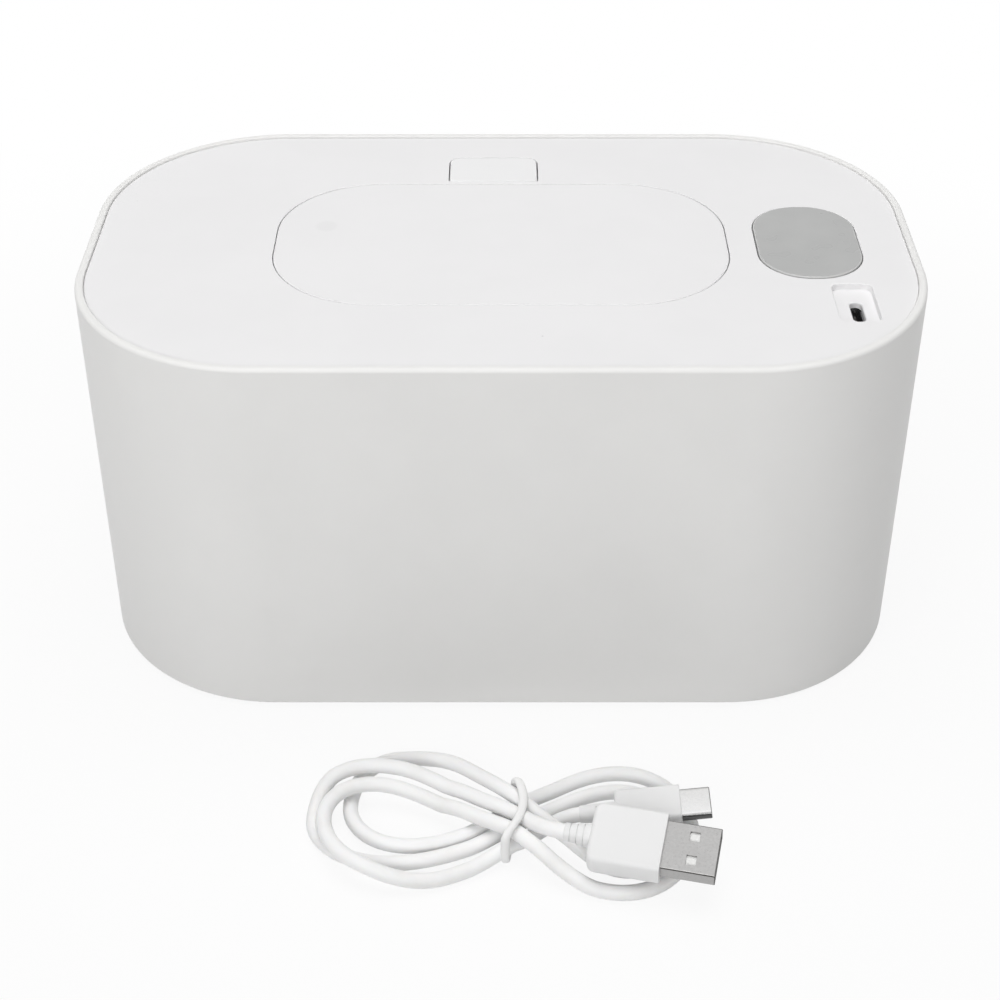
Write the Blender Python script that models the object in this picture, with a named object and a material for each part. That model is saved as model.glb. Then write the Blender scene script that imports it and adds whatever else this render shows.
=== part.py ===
"""Wipe warmer with a flush pop-up flap, a heated lift-off lid and its loose power lead.

Metres, +Z up. The origin is on the floor under the centre of the tub, +X runs to the
display end and -Y is the side that faces the user.
"""
import math
from collections import namedtuple

import bmesh
import bpy
import numpy as np
from mathutils import Matrix, Vector

# General clearances and roundings
seat_gap = 0.0003        # between pieces that rest on each other
pin_gap = 0.00028        # between a pin and its bore
overrun = 0.0010         # how far a cut runs past the face it opens
edge_round = 0.0004      # small moulded edges
corner_steps = 8         # facets in a quarter turn of a big corner
small_steps = 4          # facets in a quarter turn of a small corner
round_steps = 10         # facets round a small round piece
foot_steps = 16

# Tub
body_width = 0.2050
body_depth = 0.1234
body_height = 0.0994     # floor to rim, with the feet
corner_radius = 0.0460
tub_wall = 0.0030
tub_floor = 0.0026
rim_round = 0.0010
base_round = 0.0007
ledge_width = 0.0030
ledge_height = 0.0026
foot_proud = 0.0008
foot_radius = 0.0055
foot_height = 0.0020
foot_end_inset = 0.0305  # foot centres inside the tub's ends and its front and back
foot_side_inset = 0.0217

# Lid shell
lid_gap = 0.0004         # seam between the lid and the tub wall
lid_recess = 0.0006      # lid top below the rim
lid_skin = 0.0025
lid_wall = 0.0020
lid_depth = 0.0198       # lid top to the lower edge of its skirt
base_plate = 0.0022
lip_height = 0.0030
lip_wall = 0.0014
gasket_height = 0.0016
gasket_width = 0.0023
boss_radius = 0.0031
screw_radius = 0.0012
screw_head_radius = 0.0025
screw_head_height = 0.0016
corner_boss_angle = math.radians(55)
mid_boss_x = 0.0340

# Flap and its hinge
flap_end_strip = 0.00725 # lid surface between the flap and the display window
flap_side_margin = 0.0302
flap_radius = 0.0255
flap_gap = 0.0004
flap_thickness = 0.0024
flap_undercut = 0.0013   # how far the flap's edge leans in below its rim
well_depth = 0.0105
well_wall = 0.0015
hinge_forward = 0.0060   # hinge axis in front of the flap's front edge
hinge_drop = 0.0050      # hinge axis below the lid top
hinge_pin_radius = 0.0008
knuckle_radius = 0.0022
arm_inner = 0.0080       # radii of the curved arm about the hinge axis
arm_outer = 0.0106
arm_width = 0.0050
arm_x = 0.0220
arm_side_gap = 0.0006
lug_width = 0.0022
inner_lug_x = 0.0110
pin_half_length = 0.0282
spring_wire_radius = 0.00030
spring_coil_radius = 0.00145
spring_turns = 5
spring_leg = 0.0058

# Opening for the wipes
throat_end_margin = 0.0180  # flap's edge to the opening's wall
throat_depth_share = 0.508
throat_wall = 0.0016
collar_height = 0.0056   # throat collar above the floor of the flap's well
membrane_drop = 0.0160   # membrane's upper face below the lid top
membrane_thickness = 0.0012
membrane_shelf = 0.0016
slit_end_margin = 0.0120
slit_width_share = 0.28
ring_height = 0.0016
ring_wall = 0.0024
flap_seal_height = 0.0017
flap_seal_width = 0.0026
seal_rib_height = 0.0014
seal_rib_wall = 0.0012

# Release button, latch and their springs
button_x = -0.0020
button_strip = 0.0019    # lid surface between the flap and the button
button_width = 0.0230
button_depth = 0.0140
button_back_radius = 0.0030
button_front_radius = 0.0008
button_gap = 0.0005
button_front_gap = 0.0004
button_cap = 0.0018
button_skirt = 0.0042    # cap top to the lower edge of its side walls
button_skirt_wall = 0.0012
button_barb = 0.0007
button_travel = 0.0020
button_well_side = 0.0012
latch_drop = 0.0057      # latch plate's upper face below the lid top
latch_thickness = 0.0016
latch_half_width = 0.0044
latch_nose_half_width = 0.0030
latch_front = 0.0006     # latch plate behind the well wall
latch_length = 0.0074
latch_window_half_width = 0.0025
latch_window_front = 0.0012
latch_window_length = 0.0050
latch_reach = 0.0027     # nose in front of the well wall
wedge_half_width = 0.0022
wedge_tip = 0.0079
catch_half_width = 0.0035
catch_thickness = 0.0016
catch_lip = 0.0013
catch_lip_height = 0.0015
catch_back = 0.0027      # catch tab's back face ahead of the flap's rear edge
button_spring_x = 0.0076
button_spring_radius = 0.0017
button_spring_wire = 0.00025
button_spring_turns = 4
button_post_radius = 0.0009
button_post_height = 0.0018
latch_spring_radius = 0.00065
latch_spring_wire = 0.00012
latch_stud_radius = 0.00022
latch_stud_length = 0.0016

# Heater
heater_end_margin = 0.0355   # tub's outer sides to the heater's window
heater_side_margin = 0.0277
window_radius = 0.0260
plate_lap = 0.0070       # heater plate past the window's edge
heater_plate_height = 0.0012
film_height = 0.0003
film_margin = 0.0030
pad_height = 0.0030
pad_margin = 0.0006
plate_boss_radius = 0.0026
plate_boss_height = 0.0050
plate_screw_radius = 0.0010
plate_screw_head_radius = 0.0021
plate_screw_head_height = 0.0012
notch_inset = 0.0100     # window's end to the notch in the pad, over the film's tabs
notch_width = 0.0190
notch_depth = 0.0260
thermistor_radius = 0.0010
thermistor_length = 0.0040
thermistor_y = 0.0085
fuse_radius = 0.0014
fuse_length = 0.0070
lead_radius = 0.0006
lead_y = 0.0030

# Display
display_inset = 0.0266   # tub's end to the middle of the display window
window_y = -0.0003
display_width = 0.0253
display_side_margin = 0.0432
display_radius = 0.0120
display_proud = 0.0003
display_thickness = 0.0016
display_shelf = 0.0018
diffuser_thickness = 0.0006
diffuser_margin = 0.0010
module_end_margin = 0.0035
module_side_margin = 0.00315
digit_step_share = 0.2
segment_length_share = 0.2
segment_width_share = 0.04

# Power socket
recess_inset = 0.0188    # tub's end and front to the middle of the recess
recess_front_inset = 0.0313
recess_width = 0.0097
recess_length = 0.0177
recess_radius = 0.0022
recess_drop = 0.0016
recess_wall = 0.0015
socket_shift_x = 0.0002
socket_shift_y = -0.0018
socket_width = 0.00326
socket_length = 0.00894
socket_wall = 0.00035
slot_width = 0.0030
slot_length = 0.0089
tongue_width = 0.0008
tongue_length = 0.0062
tongue_drop = 0.0012

# Control board
board_drop = 0.0118      # board's upper face below the lid top
board_thickness = 0.0012
board_inset = 0.0273     # tub's end to the middle of the board
board_front_margin = 0.0245
board_back_margin = 0.0369
board_width = 0.0296
board_radius = 0.0020
board_boss_radius = 0.0024
board_hole_inset = 0.0034
board_screw_radius = 0.0009
board_screw_head_radius = 0.0018
board_screw_head_height = 0.0011
chip_size = 0.0070
chip_height = 0.0013
inductor_size = 0.0060
inductor_height = 0.0030
connector_width = 0.0050
connector_length = 0.0110
connector_height = 0.0034

# Power lead, lying in a tied figure eight in front of the warmer
cord_diameter = 0.0036
layer_gap = 0.0006       # between strands that lie on or beside each other
cord_floor_gap = 0.0002
waist_x = 0.0030
waist_y = -0.1075
waist_slot = 0.00566     # step between the strands at the waist
tie_run = 0.0109         # how far from the waist the strands come down from the tie
lobe_points = 24
lobe_round_share = 0.03
sag_share = 0.45
bend_pull_share = 0.40
tie_radius = 0.0007
tie_gap = 0.0003
tie_slack = 0.0010       # room beside the strands, which cross the tie aslant
cord_straight = 0.0015   # straight length of cord where it enters a plug
small_plug_dip = 0.00114 # how far the small plug's lead sags under the lobes beside it
flat_plug_arch = 0.00027 # how far the flat plug's lead rises over them
plug_c_start = (0.0188, -0.1046, 0.0046)
plug_c_pitch = math.radians(7.5)
plug_c_roll = math.radians(10)
plug_c_relief = 0.0075
plug_c_relief_radius = 0.0024
plug_c_length = 0.0150
plug_c_width = 0.0093
plug_c_thickness = 0.0048
plug_c_shell_length = 0.0066
plug_c_shell_width = 0.0083
plug_c_shell_thickness = 0.0025
plug_a_start = (0.01485, -0.1162, 0.01066)
plug_a_yaw = math.radians(-13)
plug_a_roll = math.radians(18)
plug_a_relief = 0.0052
plug_a_relief_radius = 0.0027
plug_a_length = 0.0164
plug_a_width = 0.0150
plug_a_thickness = 0.0068
plug_a_shell_length = 0.0120
plug_a_shell_width = 0.0120
plug_a_shell_thickness = 0.0045
plug_wall = 0.00045
plug_a_hole = 0.0023
plug_a_hole_ahead = 0.0062
plug_a_hole_aside = 0.0029
plug_edge = 0.0010
relief_ribs = 3
relief_groove_share = 0.82

# Lobes of the figure eight in the order that the cord runs. Each one leaves the waist, reaches
# out to its end and comes back. The first and second peaks are the lowest or highest places of
# its two runs, seen from above. Slots and layers say where each run meets the waist. A run of
# the upper layer stays up as far as "hold" and comes down over "fall"; "over" has the degrees
# of turn where the lobe climbs over the others, and where it comes down from them again.
Lobe = namedtuple("Lobe", "side reach end peaks slots layers hold fall over")
cord_lobes = (
    Lobe(-1, 0.0440, 0.0005, (-0.0160, 0.0110), (-1, -1), (0, 1), 0.0095, 0.0180, (24, 58, 126, 165)),
    Lobe(1, 0.0413, 0.0005, (-0.0188, 0.0190), (-1, 1), (1, 0), 0.0040, 0.0150, None),
    Lobe(-1, 0.0385, 0.0080, (-0.0046, 0.0242), (1, 1), (0, 1), 0.0095, 0.0180, None),
    Lobe(1, 0.0366, 0.0005, (-0.01215, 0.0130), (1, 0), (1, 0), 0.0091, 0.0140, None),
    Lobe(-1, 0.0468, 0.0035, (-0.0100, 0.0175), (0, 0), (0, 1), 0.0095, 0.0180, (88, 114, 142, 172)),
)

# Places and sizes that follow from those above
foot_x = body_width / 2 - foot_end_inset
foot_y = body_depth / 2 - foot_side_inset
window_x = body_width / 2 - display_inset
display_depth = body_depth - 2 * display_side_margin
module_width = display_width - 2 * module_side_margin
module_depth = display_depth - 2 * module_end_margin
segment_length = module_depth * segment_length_share
segment_width = module_depth * segment_width_share
recess_x = body_width / 2 - recess_inset
recess_y = recess_front_inset - body_depth / 2
socket_x = recess_x + socket_shift_x
socket_y = recess_y + socket_shift_y
board_x = body_width / 2 - board_inset
board_y = (board_front_margin - board_back_margin) / 2
board_length = body_depth - board_front_margin - board_back_margin
flap_width = 2 * (window_x - display_width / 2 - flap_end_strip)
flap_depth = body_depth - 2 * flap_side_margin
throat_width = flap_width - 2 * throat_end_margin
throat_depth = flap_depth * throat_depth_share
slit_width = throat_depth * slit_width_share
slit_length = throat_width - 2 * slit_end_margin
button_y = flap_depth / 2 + button_strip + button_depth / 2
window_width = body_width - 2 * heater_end_margin
window_depth = body_depth - 2 * heater_side_margin
notch_x = window_width / 2 - notch_inset
tub_bottom = foot_proud
lid_top = body_height - lid_recess
skin_bottom = lid_top - lid_skin
skirt_bottom = lid_top - lid_depth
base_top = skirt_bottom - seat_gap
base_bottom = base_top - base_plate
gasket_top = base_bottom - seat_gap
gasket_bottom = gasket_top - gasket_height
ledge_top = gasket_bottom - seat_gap
plate_top = base_bottom - seat_gap
plate_bottom = plate_top - heater_plate_height
film_bottom = plate_top + seat_gap
film_top = film_bottom + film_height
pad_bottom = film_top + seat_gap
pad_top = pad_bottom + pad_height
well_floor_top = lid_top - well_depth
well_floor_bottom = well_floor_top - well_wall
collar_top = well_floor_top + collar_height
throat_bottom = plate_bottom - seat_gap
membrane_top = lid_top - membrane_drop
membrane_bottom = membrane_top - membrane_thickness
shelf_top = membrane_bottom - seat_gap
flap_bottom = lid_top - flap_thickness
flap_front = -flap_depth / 2
flap_back = flap_depth / 2
hinge_y = flap_front - hinge_forward
hinge_z = lid_top - hinge_drop
well_back = flap_back + flap_gap
button_back = button_y + button_depth / 2
button_front = button_y - button_depth / 2
button_room_half = button_depth / 2 - button_back_radius
opening_front = button_front - button_front_gap
latch_top = lid_top - latch_drop
latch_bottom = latch_top - latch_thickness
button_floor_top = latch_bottom - seat_gap
button_floor_bottom = button_floor_top - well_wall
latch_plate_front = opening_front + latch_front
latch_plate_back = latch_plate_front + latch_length
latch_window_start = latch_plate_front + latch_window_front
latch_window_back = latch_window_start + latch_window_length
wedge_front = latch_window_start + button_travel + seat_gap
board_top = lid_top - board_drop
board_bottom = board_top - board_thickness
recess_floor = lid_top - recess_drop
recess_bottom = recess_floor - recess_wall
cord_floor = cord_diameter / 2 + cord_floor_gap
cord_layer = cord_diameter + layer_gap
tie_lift = 2 * tie_radius + tie_gap
display_bottom = lid_top + display_proud - display_thickness
display_seat = display_bottom - seat_gap
socket_top = recess_bottom - seat_gap

HINGE_AXIS = Vector((0, hinge_y, hinge_z))
BUTTON_AXIS = Vector((button_x, button_y, lid_top))
LATCH_AXIS = Vector((button_x, latch_plate_front, latch_top))
LID_AXIS = Vector((0, 0, ledge_top))


class Plan:
    """A rectangle with round corners, seen from above."""

    def __init__(self, width, depth, radius, x=0.0, y=0.0, front_radius=None, steps=corner_steps):
        self.width, self.depth = width, depth
        self.radius = min(radius, width / 2, depth / 2)
        self.x, self.y, self.steps = x, y, steps
        self.front_radius = self.radius if front_radius is None else front_radius

    def grown(self, margin):
        """The same shape with its edge moved outwards, or inwards below zero."""
        return Plan(
            self.width + 2 * margin,
            self.depth + 2 * margin,
            max(self.radius + margin, edge_round / 2),
            self.x,
            self.y,
            max(self.front_radius + margin, edge_round / 2),
            self.steps,
        )

    def points(self):
        """Its outline, anticlockwise from above."""
        out = []
        corners = ((1, 1), (-1, 1), (-1, -1), (1, -1))
        for turn, (side_x, side_y) in enumerate(corners):
            radius = self.radius if side_y > 0 else self.front_radius
            centre_x = self.x + side_x * (self.width / 2 - radius)
            centre_y = self.y + side_y * (self.depth / 2 - radius)
            for step in range(self.steps + 1):
                angle = math.pi / 2 * (turn + step / self.steps)
                out.append((centre_x + radius * math.cos(angle), centre_y + radius * math.sin(angle)))
        return out

    def level(self, height):
        """Its outline as a ring at one height."""
        return [Vector((x, y, height)) for x, y in self.points()]


def circle(radius, x, y, height, steps=round_steps):
    """A ring of points about an upright line."""
    angles = [2 * math.pi * step / steps for step in range(steps)]
    return [Vector((x + radius * math.cos(a), y + radius * math.sin(a), height)) for a in angles]


def loft(rings, closed=False):
    """A closed body through rings of equal counts, capped or joined end to end."""
    mesh = bmesh.new()
    rows = [[mesh.verts.new(point) for point in ring] for ring in rings]
    pairs = list(zip(rows[:-1], rows[1:]))
    if closed:
        pairs.append((rows[-1], rows[0]))
    for low, high in pairs:
        count = len(low)
        for i in range(count):
            j = (i + 1) % count
            mesh.faces.new((low[i], low[j], high[j], high[i]))
    if not closed:
        mesh.faces.new(list(reversed(rows[0])))
        mesh.faces.new(rows[-1])
    bmesh.ops.recalc_face_normals(mesh, faces=mesh.faces)
    return mesh


def prism(plan, low, high):
    """An upright body with one outline."""
    return loft([plan.level(low), plan.level(high)])


def stepped(*levels):
    """An upright body through (outline, height) pairs, with flat steps between them."""
    return loft([plan.level(height) for plan, height in levels])


def ring_prism(outer, inner, low, high):
    """An upright body with one outline and a hole of another."""
    return loft([outer.level(low), outer.level(high), inner.level(high), inner.level(low)], True)


def box(low, high):
    """A block between two corners."""
    (x0, y0, z0), (x1, y1, z1) = low, high
    bottom = [Vector((x, y, z0)) for x, y in ((x0, y0), (x1, y0), (x1, y1), (x0, y1))]
    top = [Vector((point.x, point.y, z1)) for point in bottom]
    return loft([bottom, top])


def rod(radius, x, y, low, high, steps=round_steps):
    """An upright round rod."""
    return loft([circle(radius, x, y, low, steps), circle(radius, x, y, high, steps)])


def turned(profile, x, y, steps=round_steps):
    """A body turned about an upright line from (radius, height) pairs."""
    return loft([circle(radius, x, y, height, steps) for radius, height in profile])


def side_prism(outline, left, right):
    """A body with a side view given as (y, z) points, from one x to another."""
    return loft([[Vector((x, y, z)) for y, z in outline] for x in (left, right)])


def side_rod(radius, y, z, left, right, steps=round_steps):
    """A round rod along X."""
    angles = [2 * math.pi * step / steps for step in range(steps)]
    return side_prism([(y + radius * math.cos(a), z + radius * math.sin(a)) for a in angles], left, right)


def placed(mesh, matrix):
    """The same mesh, moved and turned."""
    bmesh.ops.transform(mesh, matrix=matrix, verts=mesh.verts)
    return mesh


def together(meshes):
    """Bodies that don't touch, held in one mesh as a group of tools."""
    whole = bmesh.new()
    for mesh in meshes:
        part = bpy.data.meshes.new("part")
        mesh.to_mesh(part)
        mesh.free()
        whole.from_mesh(part)
        bpy.data.meshes.remove(part)
    return whole


def temporary(mesh):
    """An object made from a mesh, for a Boolean step."""
    data = bpy.data.meshes.new("step")
    mesh.to_mesh(data)
    mesh.free()
    made = bpy.data.objects.new("step", data)
    bpy.context.collection.objects.link(made)
    return made


def combined(mesh, tools, operation):
    """The mesh after each tool is added to it or cut from it in turn."""
    body = temporary(mesh)
    for tool in tools:
        cutter = temporary(tool)
        step = body.modifiers.new("step", "BOOLEAN")
        step.operation = operation
        step.solver = "EXACT"
        step.object = cutter
        graph = bpy.context.evaluated_depsgraph_get()
        result = bpy.data.meshes.new_from_object(body.evaluated_get(graph))
        body.modifiers.clear()
        old = body.data
        body.data = result
        bpy.data.meshes.remove(old)
        used = cutter.data
        bpy.data.objects.remove(cutter)
        bpy.data.meshes.remove(used)
    out = bmesh.new()
    out.from_mesh(body.data)
    data = body.data
    bpy.data.objects.remove(body)
    bpy.data.meshes.remove(data)
    return out


def added(mesh, *tools):
    """The union of a mesh and its tools."""
    return combined(mesh, tools, "UNION")


def cut(mesh, *tools):
    """What is left of a mesh when its tools are taken away."""
    return combined(mesh, tools, "DIFFERENCE")


def finish(name, colour, roughness, metallic=0.0, alpha=1.0):
    """A plain material."""
    made = bpy.data.materials.new(name)
    made.use_nodes = True
    shader = made.node_tree.nodes["Principled BSDF"]
    shader.inputs["Base Color"].default_value = (*colour, 1.0)
    shader.inputs["Roughness"].default_value = roughness
    shader.inputs["Metallic"].default_value = metallic
    shader.inputs["Alpha"].default_value = alpha
    return made


def piece(name, mesh, material, axis=None, holder=None):
    """A named sub-part. One that moves has its origin and its parent on the joint's axis."""
    origin = axis or Vector((0, 0, 0))
    bmesh.ops.translate(mesh, verts=mesh.verts, vec=-origin)
    data = bpy.data.meshes.new(name)
    mesh.to_mesh(data)
    mesh.free()
    data.shade_smooth()
    data.set_sharp_from_angle(angle=math.radians(32))
    data.materials.append(material)
    made = bpy.data.objects.new(name, data)
    bpy.context.collection.objects.link(made)
    made.location = origin
    if holder is not None:
        made.parent = holder
        made.matrix_parent_inverse = Matrix.Translation(-holder_place(holder))
    return made


def holder_place(holder):
    """Where an empty stands in the world, through its parents."""
    place = Vector(holder.location)
    while holder.parent is not None:
        holder = holder.parent
        place += Vector(holder.location)
    return place


def axis_empty(name, place, parent=None):
    """An empty on a joint's axis."""
    made = bpy.data.objects.new(name, None)
    bpy.context.collection.objects.link(made)
    made.location = place
    if parent is not None:
        made.parent = parent
        made.location = place - holder_place(parent)
    return made


def tube(points, radius, sides):
    """A round tube along points, with flat ends, its frame carried along without twist."""
    spots = [Vector(point) for point in points]
    forward = [(b - a).normalized() for a, b in zip(spots[:-1], spots[1:])]
    tangents = [forward[0]] + [(a + b).normalized() for a, b in zip(forward[:-1], forward[1:])] + [forward[-1]]
    side = tangents[0].orthogonal().normalized()
    rings = []
    for spot, tangent in zip(spots, tangents):
        side = (side - tangent * side.dot(tangent)).normalized()
        other = tangent.cross(side)
        angles = [2 * math.pi * step / sides for step in range(sides)]
        rings.append([spot + radius * (math.cos(a) * side + math.sin(a) * other) for a in angles])
    return loft(rings)


def helix(radius, length, turns, points_per_turn):
    """Points on a coil about the Z axis, from zero up to its length."""
    count = turns * points_per_turn
    share = [step / count for step in range(count + 1)]
    full = 2 * math.pi * turns
    return [(radius * math.cos(full * s), radius * math.sin(full * s), length * s) for s in share]


# Outlines that several pieces share
tub_plan = Plan(body_width, body_depth, corner_radius)
tub_inner = tub_plan.grown(-tub_wall)
lid_plan = tub_inner.grown(-lid_gap)
lid_inner = lid_plan.grown(-lid_wall)
flap_plan = Plan(flap_width, flap_depth, flap_radius)
flap_opening = flap_plan.grown(flap_gap)
throat_inner = Plan(throat_width, throat_depth, throat_depth / 2)
throat_outer = throat_inner.grown(throat_wall)
throat_hole = throat_outer.grown(seat_gap)
heater_window = Plan(window_width, window_depth, window_radius)
heater_plan = heater_window.grown(plate_lap)
display_plan = Plan(display_width, display_depth, display_radius, window_x, window_y)
recess_plan = Plan(recess_width, recess_length, recess_radius, recess_x, recess_y, steps=small_steps)
board_plan = Plan(board_width, board_length, board_radius, board_x, board_y, steps=small_steps)
button_plan = Plan(
    button_width, button_depth, button_back_radius, button_x, button_y, button_front_radius, small_steps
)


def boss_places():
    """Where the lid is screwed to its base: four corners and two places at mid length."""
    reach = lid_inner.radius - boss_radius - lip_wall - 2 * seat_gap
    centre_x = lid_inner.width / 2 - lid_inner.radius
    centre_y = lid_inner.depth / 2 - lid_inner.radius
    x = centre_x + reach * math.cos(corner_boss_angle)
    y = centre_y + reach * math.sin(corner_boss_angle)
    mid_y = centre_y + reach
    return ((x, y), (-x, y), (-x, -y), (x, -y), (-mid_boss_x, mid_y), (mid_boss_x, -mid_y))


def plate_screw_places():
    """Where the heater plate is screwed up, on the middle of its rim at the corners."""
    reach = heater_window.radius + plate_lap / 2
    x = heater_window.width / 2 - heater_window.radius + reach * math.cos(math.pi / 4)
    y = heater_window.depth / 2 - heater_window.radius + reach * math.sin(math.pi / 4)
    return ((x, y), (-x, y), (-x, -y), (x, -y))


def board_screw_places():
    """Where the board hangs from the lid."""
    left = board_x - board_width / 2 + board_hole_inset
    right = board_x + board_width / 2 - board_hole_inset
    back = board_y + board_length / 2 - board_hole_inset
    front = board_y - board_length / 2 + board_hole_inset
    return ((left, back), (right, back), (left, front))


def pan_screw(x, y, seat, shank_radius, shank_length, head_radius, head_height):
    """A pan head screw driven upwards, with a cross-slot socket in its head."""
    body = turned(
        (
            (head_radius - edge_round, seat - head_height),
            (head_radius, seat - head_height + edge_round),
            (head_radius, seat),
            (shank_radius, seat),
            (shank_radius, seat + shank_length - shank_radius),
            (shank_radius / 2, seat + shank_length),
        ),
        x,
        y,
    )
    arm = head_radius / 2
    blade = head_radius / 6
    bottom = seat - head_height
    depth = bottom + head_height / 2
    cross = added(
        box((x - arm, y - blade, bottom - overrun), (x + arm, y + blade, depth)),
        box((x - blade, y - arm, bottom - overrun), (x + blade, y + arm, depth)),
    )
    return cut(body, cross)


def make_tub(material):
    """The tub: one thin-walled moulding with a rounded rim and a ledge for the lid."""
    inner = tub_inner
    ledge = inner.grown(-ledge_width)
    rings = [
        tub_plan.grown(-base_round).level(tub_bottom),
        tub_plan.grown(-base_round / 4).level(tub_bottom + base_round / 4),
        tub_plan.level(tub_bottom + base_round),
    ]
    for step in range(4):
        angle = math.pi / 2 * step / 3
        drop = rim_round * (1 - math.sin(angle))
        rings.append(tub_plan.grown(rim_round * (math.cos(angle) - 1)).level(body_height - drop))
    rings += [
        inner.grown(edge_round).level(body_height),
        inner.level(body_height - edge_round),
        inner.level(ledge_top),
        ledge.level(ledge_top),
        ledge.level(ledge_top - ledge_height),
        inner.level(ledge_top - ledge_height - ledge_width),
        inner.level(tub_bottom + tub_floor + tub_wall),
        inner.grown(-tub_wall / 3).level(tub_bottom + tub_floor + tub_wall / 3),
        inner.grown(-tub_wall).level(tub_bottom + tub_floor),
    ]
    pocket_radius = foot_radius + seat_gap
    pocket_top = foot_height + seat_gap
    pockets = [
        rod(pocket_radius, x, y, tub_bottom - overrun, pocket_top, foot_steps) for x, y in foot_places()
    ]
    piece("tub", cut(loft(rings), together(pockets)), material)


def foot_places():
    """The four feet."""
    return ((foot_x, foot_y), (-foot_x, foot_y), (-foot_x, -foot_y), (foot_x, -foot_y))


def make_feet(material):
    """Rubber feet, held in pockets in the underside."""
    for number, (x, y) in enumerate(foot_places(), 1):
        profile = (
            (foot_radius - edge_round, 0),
            (foot_radius, edge_round),
            (foot_radius, foot_height),
        )
        piece(f"foot_{number}", turned(profile, x, y, foot_steps), material)


def lid_shell():
    """The lid's skin and skirt, before anything is added to it."""
    return loft(
        [
            lid_inner.level(skin_bottom),
            lid_inner.level(skirt_bottom),
            lid_plan.level(skirt_bottom),
            lid_plan.level(lid_top - edge_round),
            lid_plan.grown(-edge_round).level(lid_top),
        ]
    )


def lid_wells():
    """Blocks under the skin: flap well, throat, button well, socket pocket, screw bosses."""
    inside_skin = lid_top - lid_skin / 2
    side = button_well_side + well_wall
    button_block = Plan(
        button_width + 2 * (button_gap + side),
        button_depth + button_front_gap + 2 * well_wall + button_gap,
        button_back_radius,
        button_x,
        button_y,
        steps=small_steps,
    )
    bosses = [rod(boss_radius, x, y, skirt_bottom, inside_skin) for x, y in boss_places()]
    board_seat = board_top + seat_gap
    board_bosses = [rod(board_boss_radius, x, y, board_seat, inside_skin) for x, y in board_screw_places()]
    return (
        prism(flap_opening.grown(well_wall), well_floor_bottom, inside_skin),
        prism(throat_outer, throat_bottom, well_floor_top),
        prism(button_block, button_floor_bottom, inside_skin),
        prism(recess_plan.grown(recess_wall), recess_bottom, inside_skin),
        together(bosses + board_bosses),
        together(hinge_lugs(inside_skin)),
    )


def hinge_lugs(top):
    """Lugs under the skin that carry the hinge pin on each side of each arm."""
    low = hinge_z - knuckle_radius
    outer_x = arm_x + arm_width / 2 + arm_side_gap
    lugs = []
    for near, far in ((outer_x, outer_x + lug_width), (inner_lug_x - lug_width, inner_lug_x)):
        for side in (-1, 1):
            left, right = sorted((side * near, side * far))
            front = hinge_y - knuckle_radius
            lugs.append(box((left, front, low), (right, hinge_y + knuckle_radius, top)))
    return lugs


def arm_slots():
    """Slots that let the flap's arms swing through the wall and floor of the well."""
    slots = []
    for side in (-1, 1):
        half = arm_width / 2 + arm_side_gap
        low = (side * arm_x - half, hinge_y + knuckle_radius, well_floor_bottom - overrun)
        high = (side * arm_x + half, hinge_y + arm_outer + arm_side_gap, skin_bottom)
        slots.append(box(low, high))
    return slots


def lid_cuts():
    """Everything that is cut from the lid once its blocks are on."""
    above = lid_top + overrun
    opening = Plan(
        button_width + 2 * button_gap,
        button_depth + button_front_gap + button_gap,
        button_back_radius,
        button_x,
        button_y + (button_gap - button_front_gap) / 2,
        button_front_radius,
        small_steps,
    )
    room_half_width = opening.width / 2 + button_well_side
    room_low = (button_x - room_half_width, button_y - button_room_half, button_floor_top)
    room_high = (button_x + room_half_width, button_y + button_room_half, skin_bottom)
    nose_low = (
        button_x - latch_nose_half_width - arm_side_gap,
        well_back - overrun,
        latch_bottom - seat_gap,
    )
    nose_high = (
        button_x + latch_nose_half_width + arm_side_gap,
        opening_front + overrun,
        latch_top + seat_gap,
    )
    wedge_low = (
        button_x - latch_window_half_width,
        latch_window_start - seat_gap,
        button_floor_bottom - overrun,
    )
    wedge_high = (
        button_x + latch_window_half_width,
        latch_window_back + button_travel,
        button_floor_top + overrun,
    )
    shelf = Plan(throat_width, throat_depth, throat_depth / 2).grown(-membrane_shelf)
    slot = Plan(slot_width, slot_length, slot_width / 2, socket_x, socket_y, steps=small_steps)
    pilot = [rod(screw_radius + seat_gap, x, y, skirt_bottom - overrun, skin_bottom) for x, y in boss_places()]
    board_pilot = [
        rod(board_screw_radius + seat_gap, x, y, board_top - overrun, skin_bottom)
        for x, y in board_screw_places()
    ]
    pin_bore = side_rod(
        hinge_pin_radius + pin_gap, hinge_y, hinge_z, -pin_half_length - overrun, pin_half_length + overrun
    )
    return (
        stepped(
            (throat_outer, collar_top),
            (throat_outer, well_floor_top),
            (flap_opening, well_floor_top),
            (flap_opening, above),
        ),
        stepped(
            (shelf, throat_bottom - overrun),
            (shelf, shelf_top),
            (throat_inner, shelf_top),
            (throat_inner, above),
        ),
        added(prism(opening, button_floor_top, above), box(room_low, room_high)),
        box(nose_low, nose_high),
        box(wedge_low, wedge_high),
        stepped(
            (display_plan.grown(-display_shelf), skin_bottom - overrun),
            (display_plan.grown(-display_shelf), display_seat),
            (display_plan.grown(seat_gap), display_seat),
            (display_plan.grown(seat_gap), above),
        ),
        stepped(
            (slot, recess_bottom - overrun),
            (slot, recess_floor),
            (recess_plan, recess_floor),
            (recess_plan, above),
        ),
        together(pilot + board_pilot),
        together(arm_slots()),
        pin_bore,
    )


def button_posts():
    """Posts inside the button's springs."""
    top = button_floor_top + button_post_height
    low = button_floor_top - well_wall / 2
    places = [button_x + side * button_spring_x for side in (-1, 1)]
    return together([rod(button_post_radius, x, button_y, low, top) for x in places])


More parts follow.
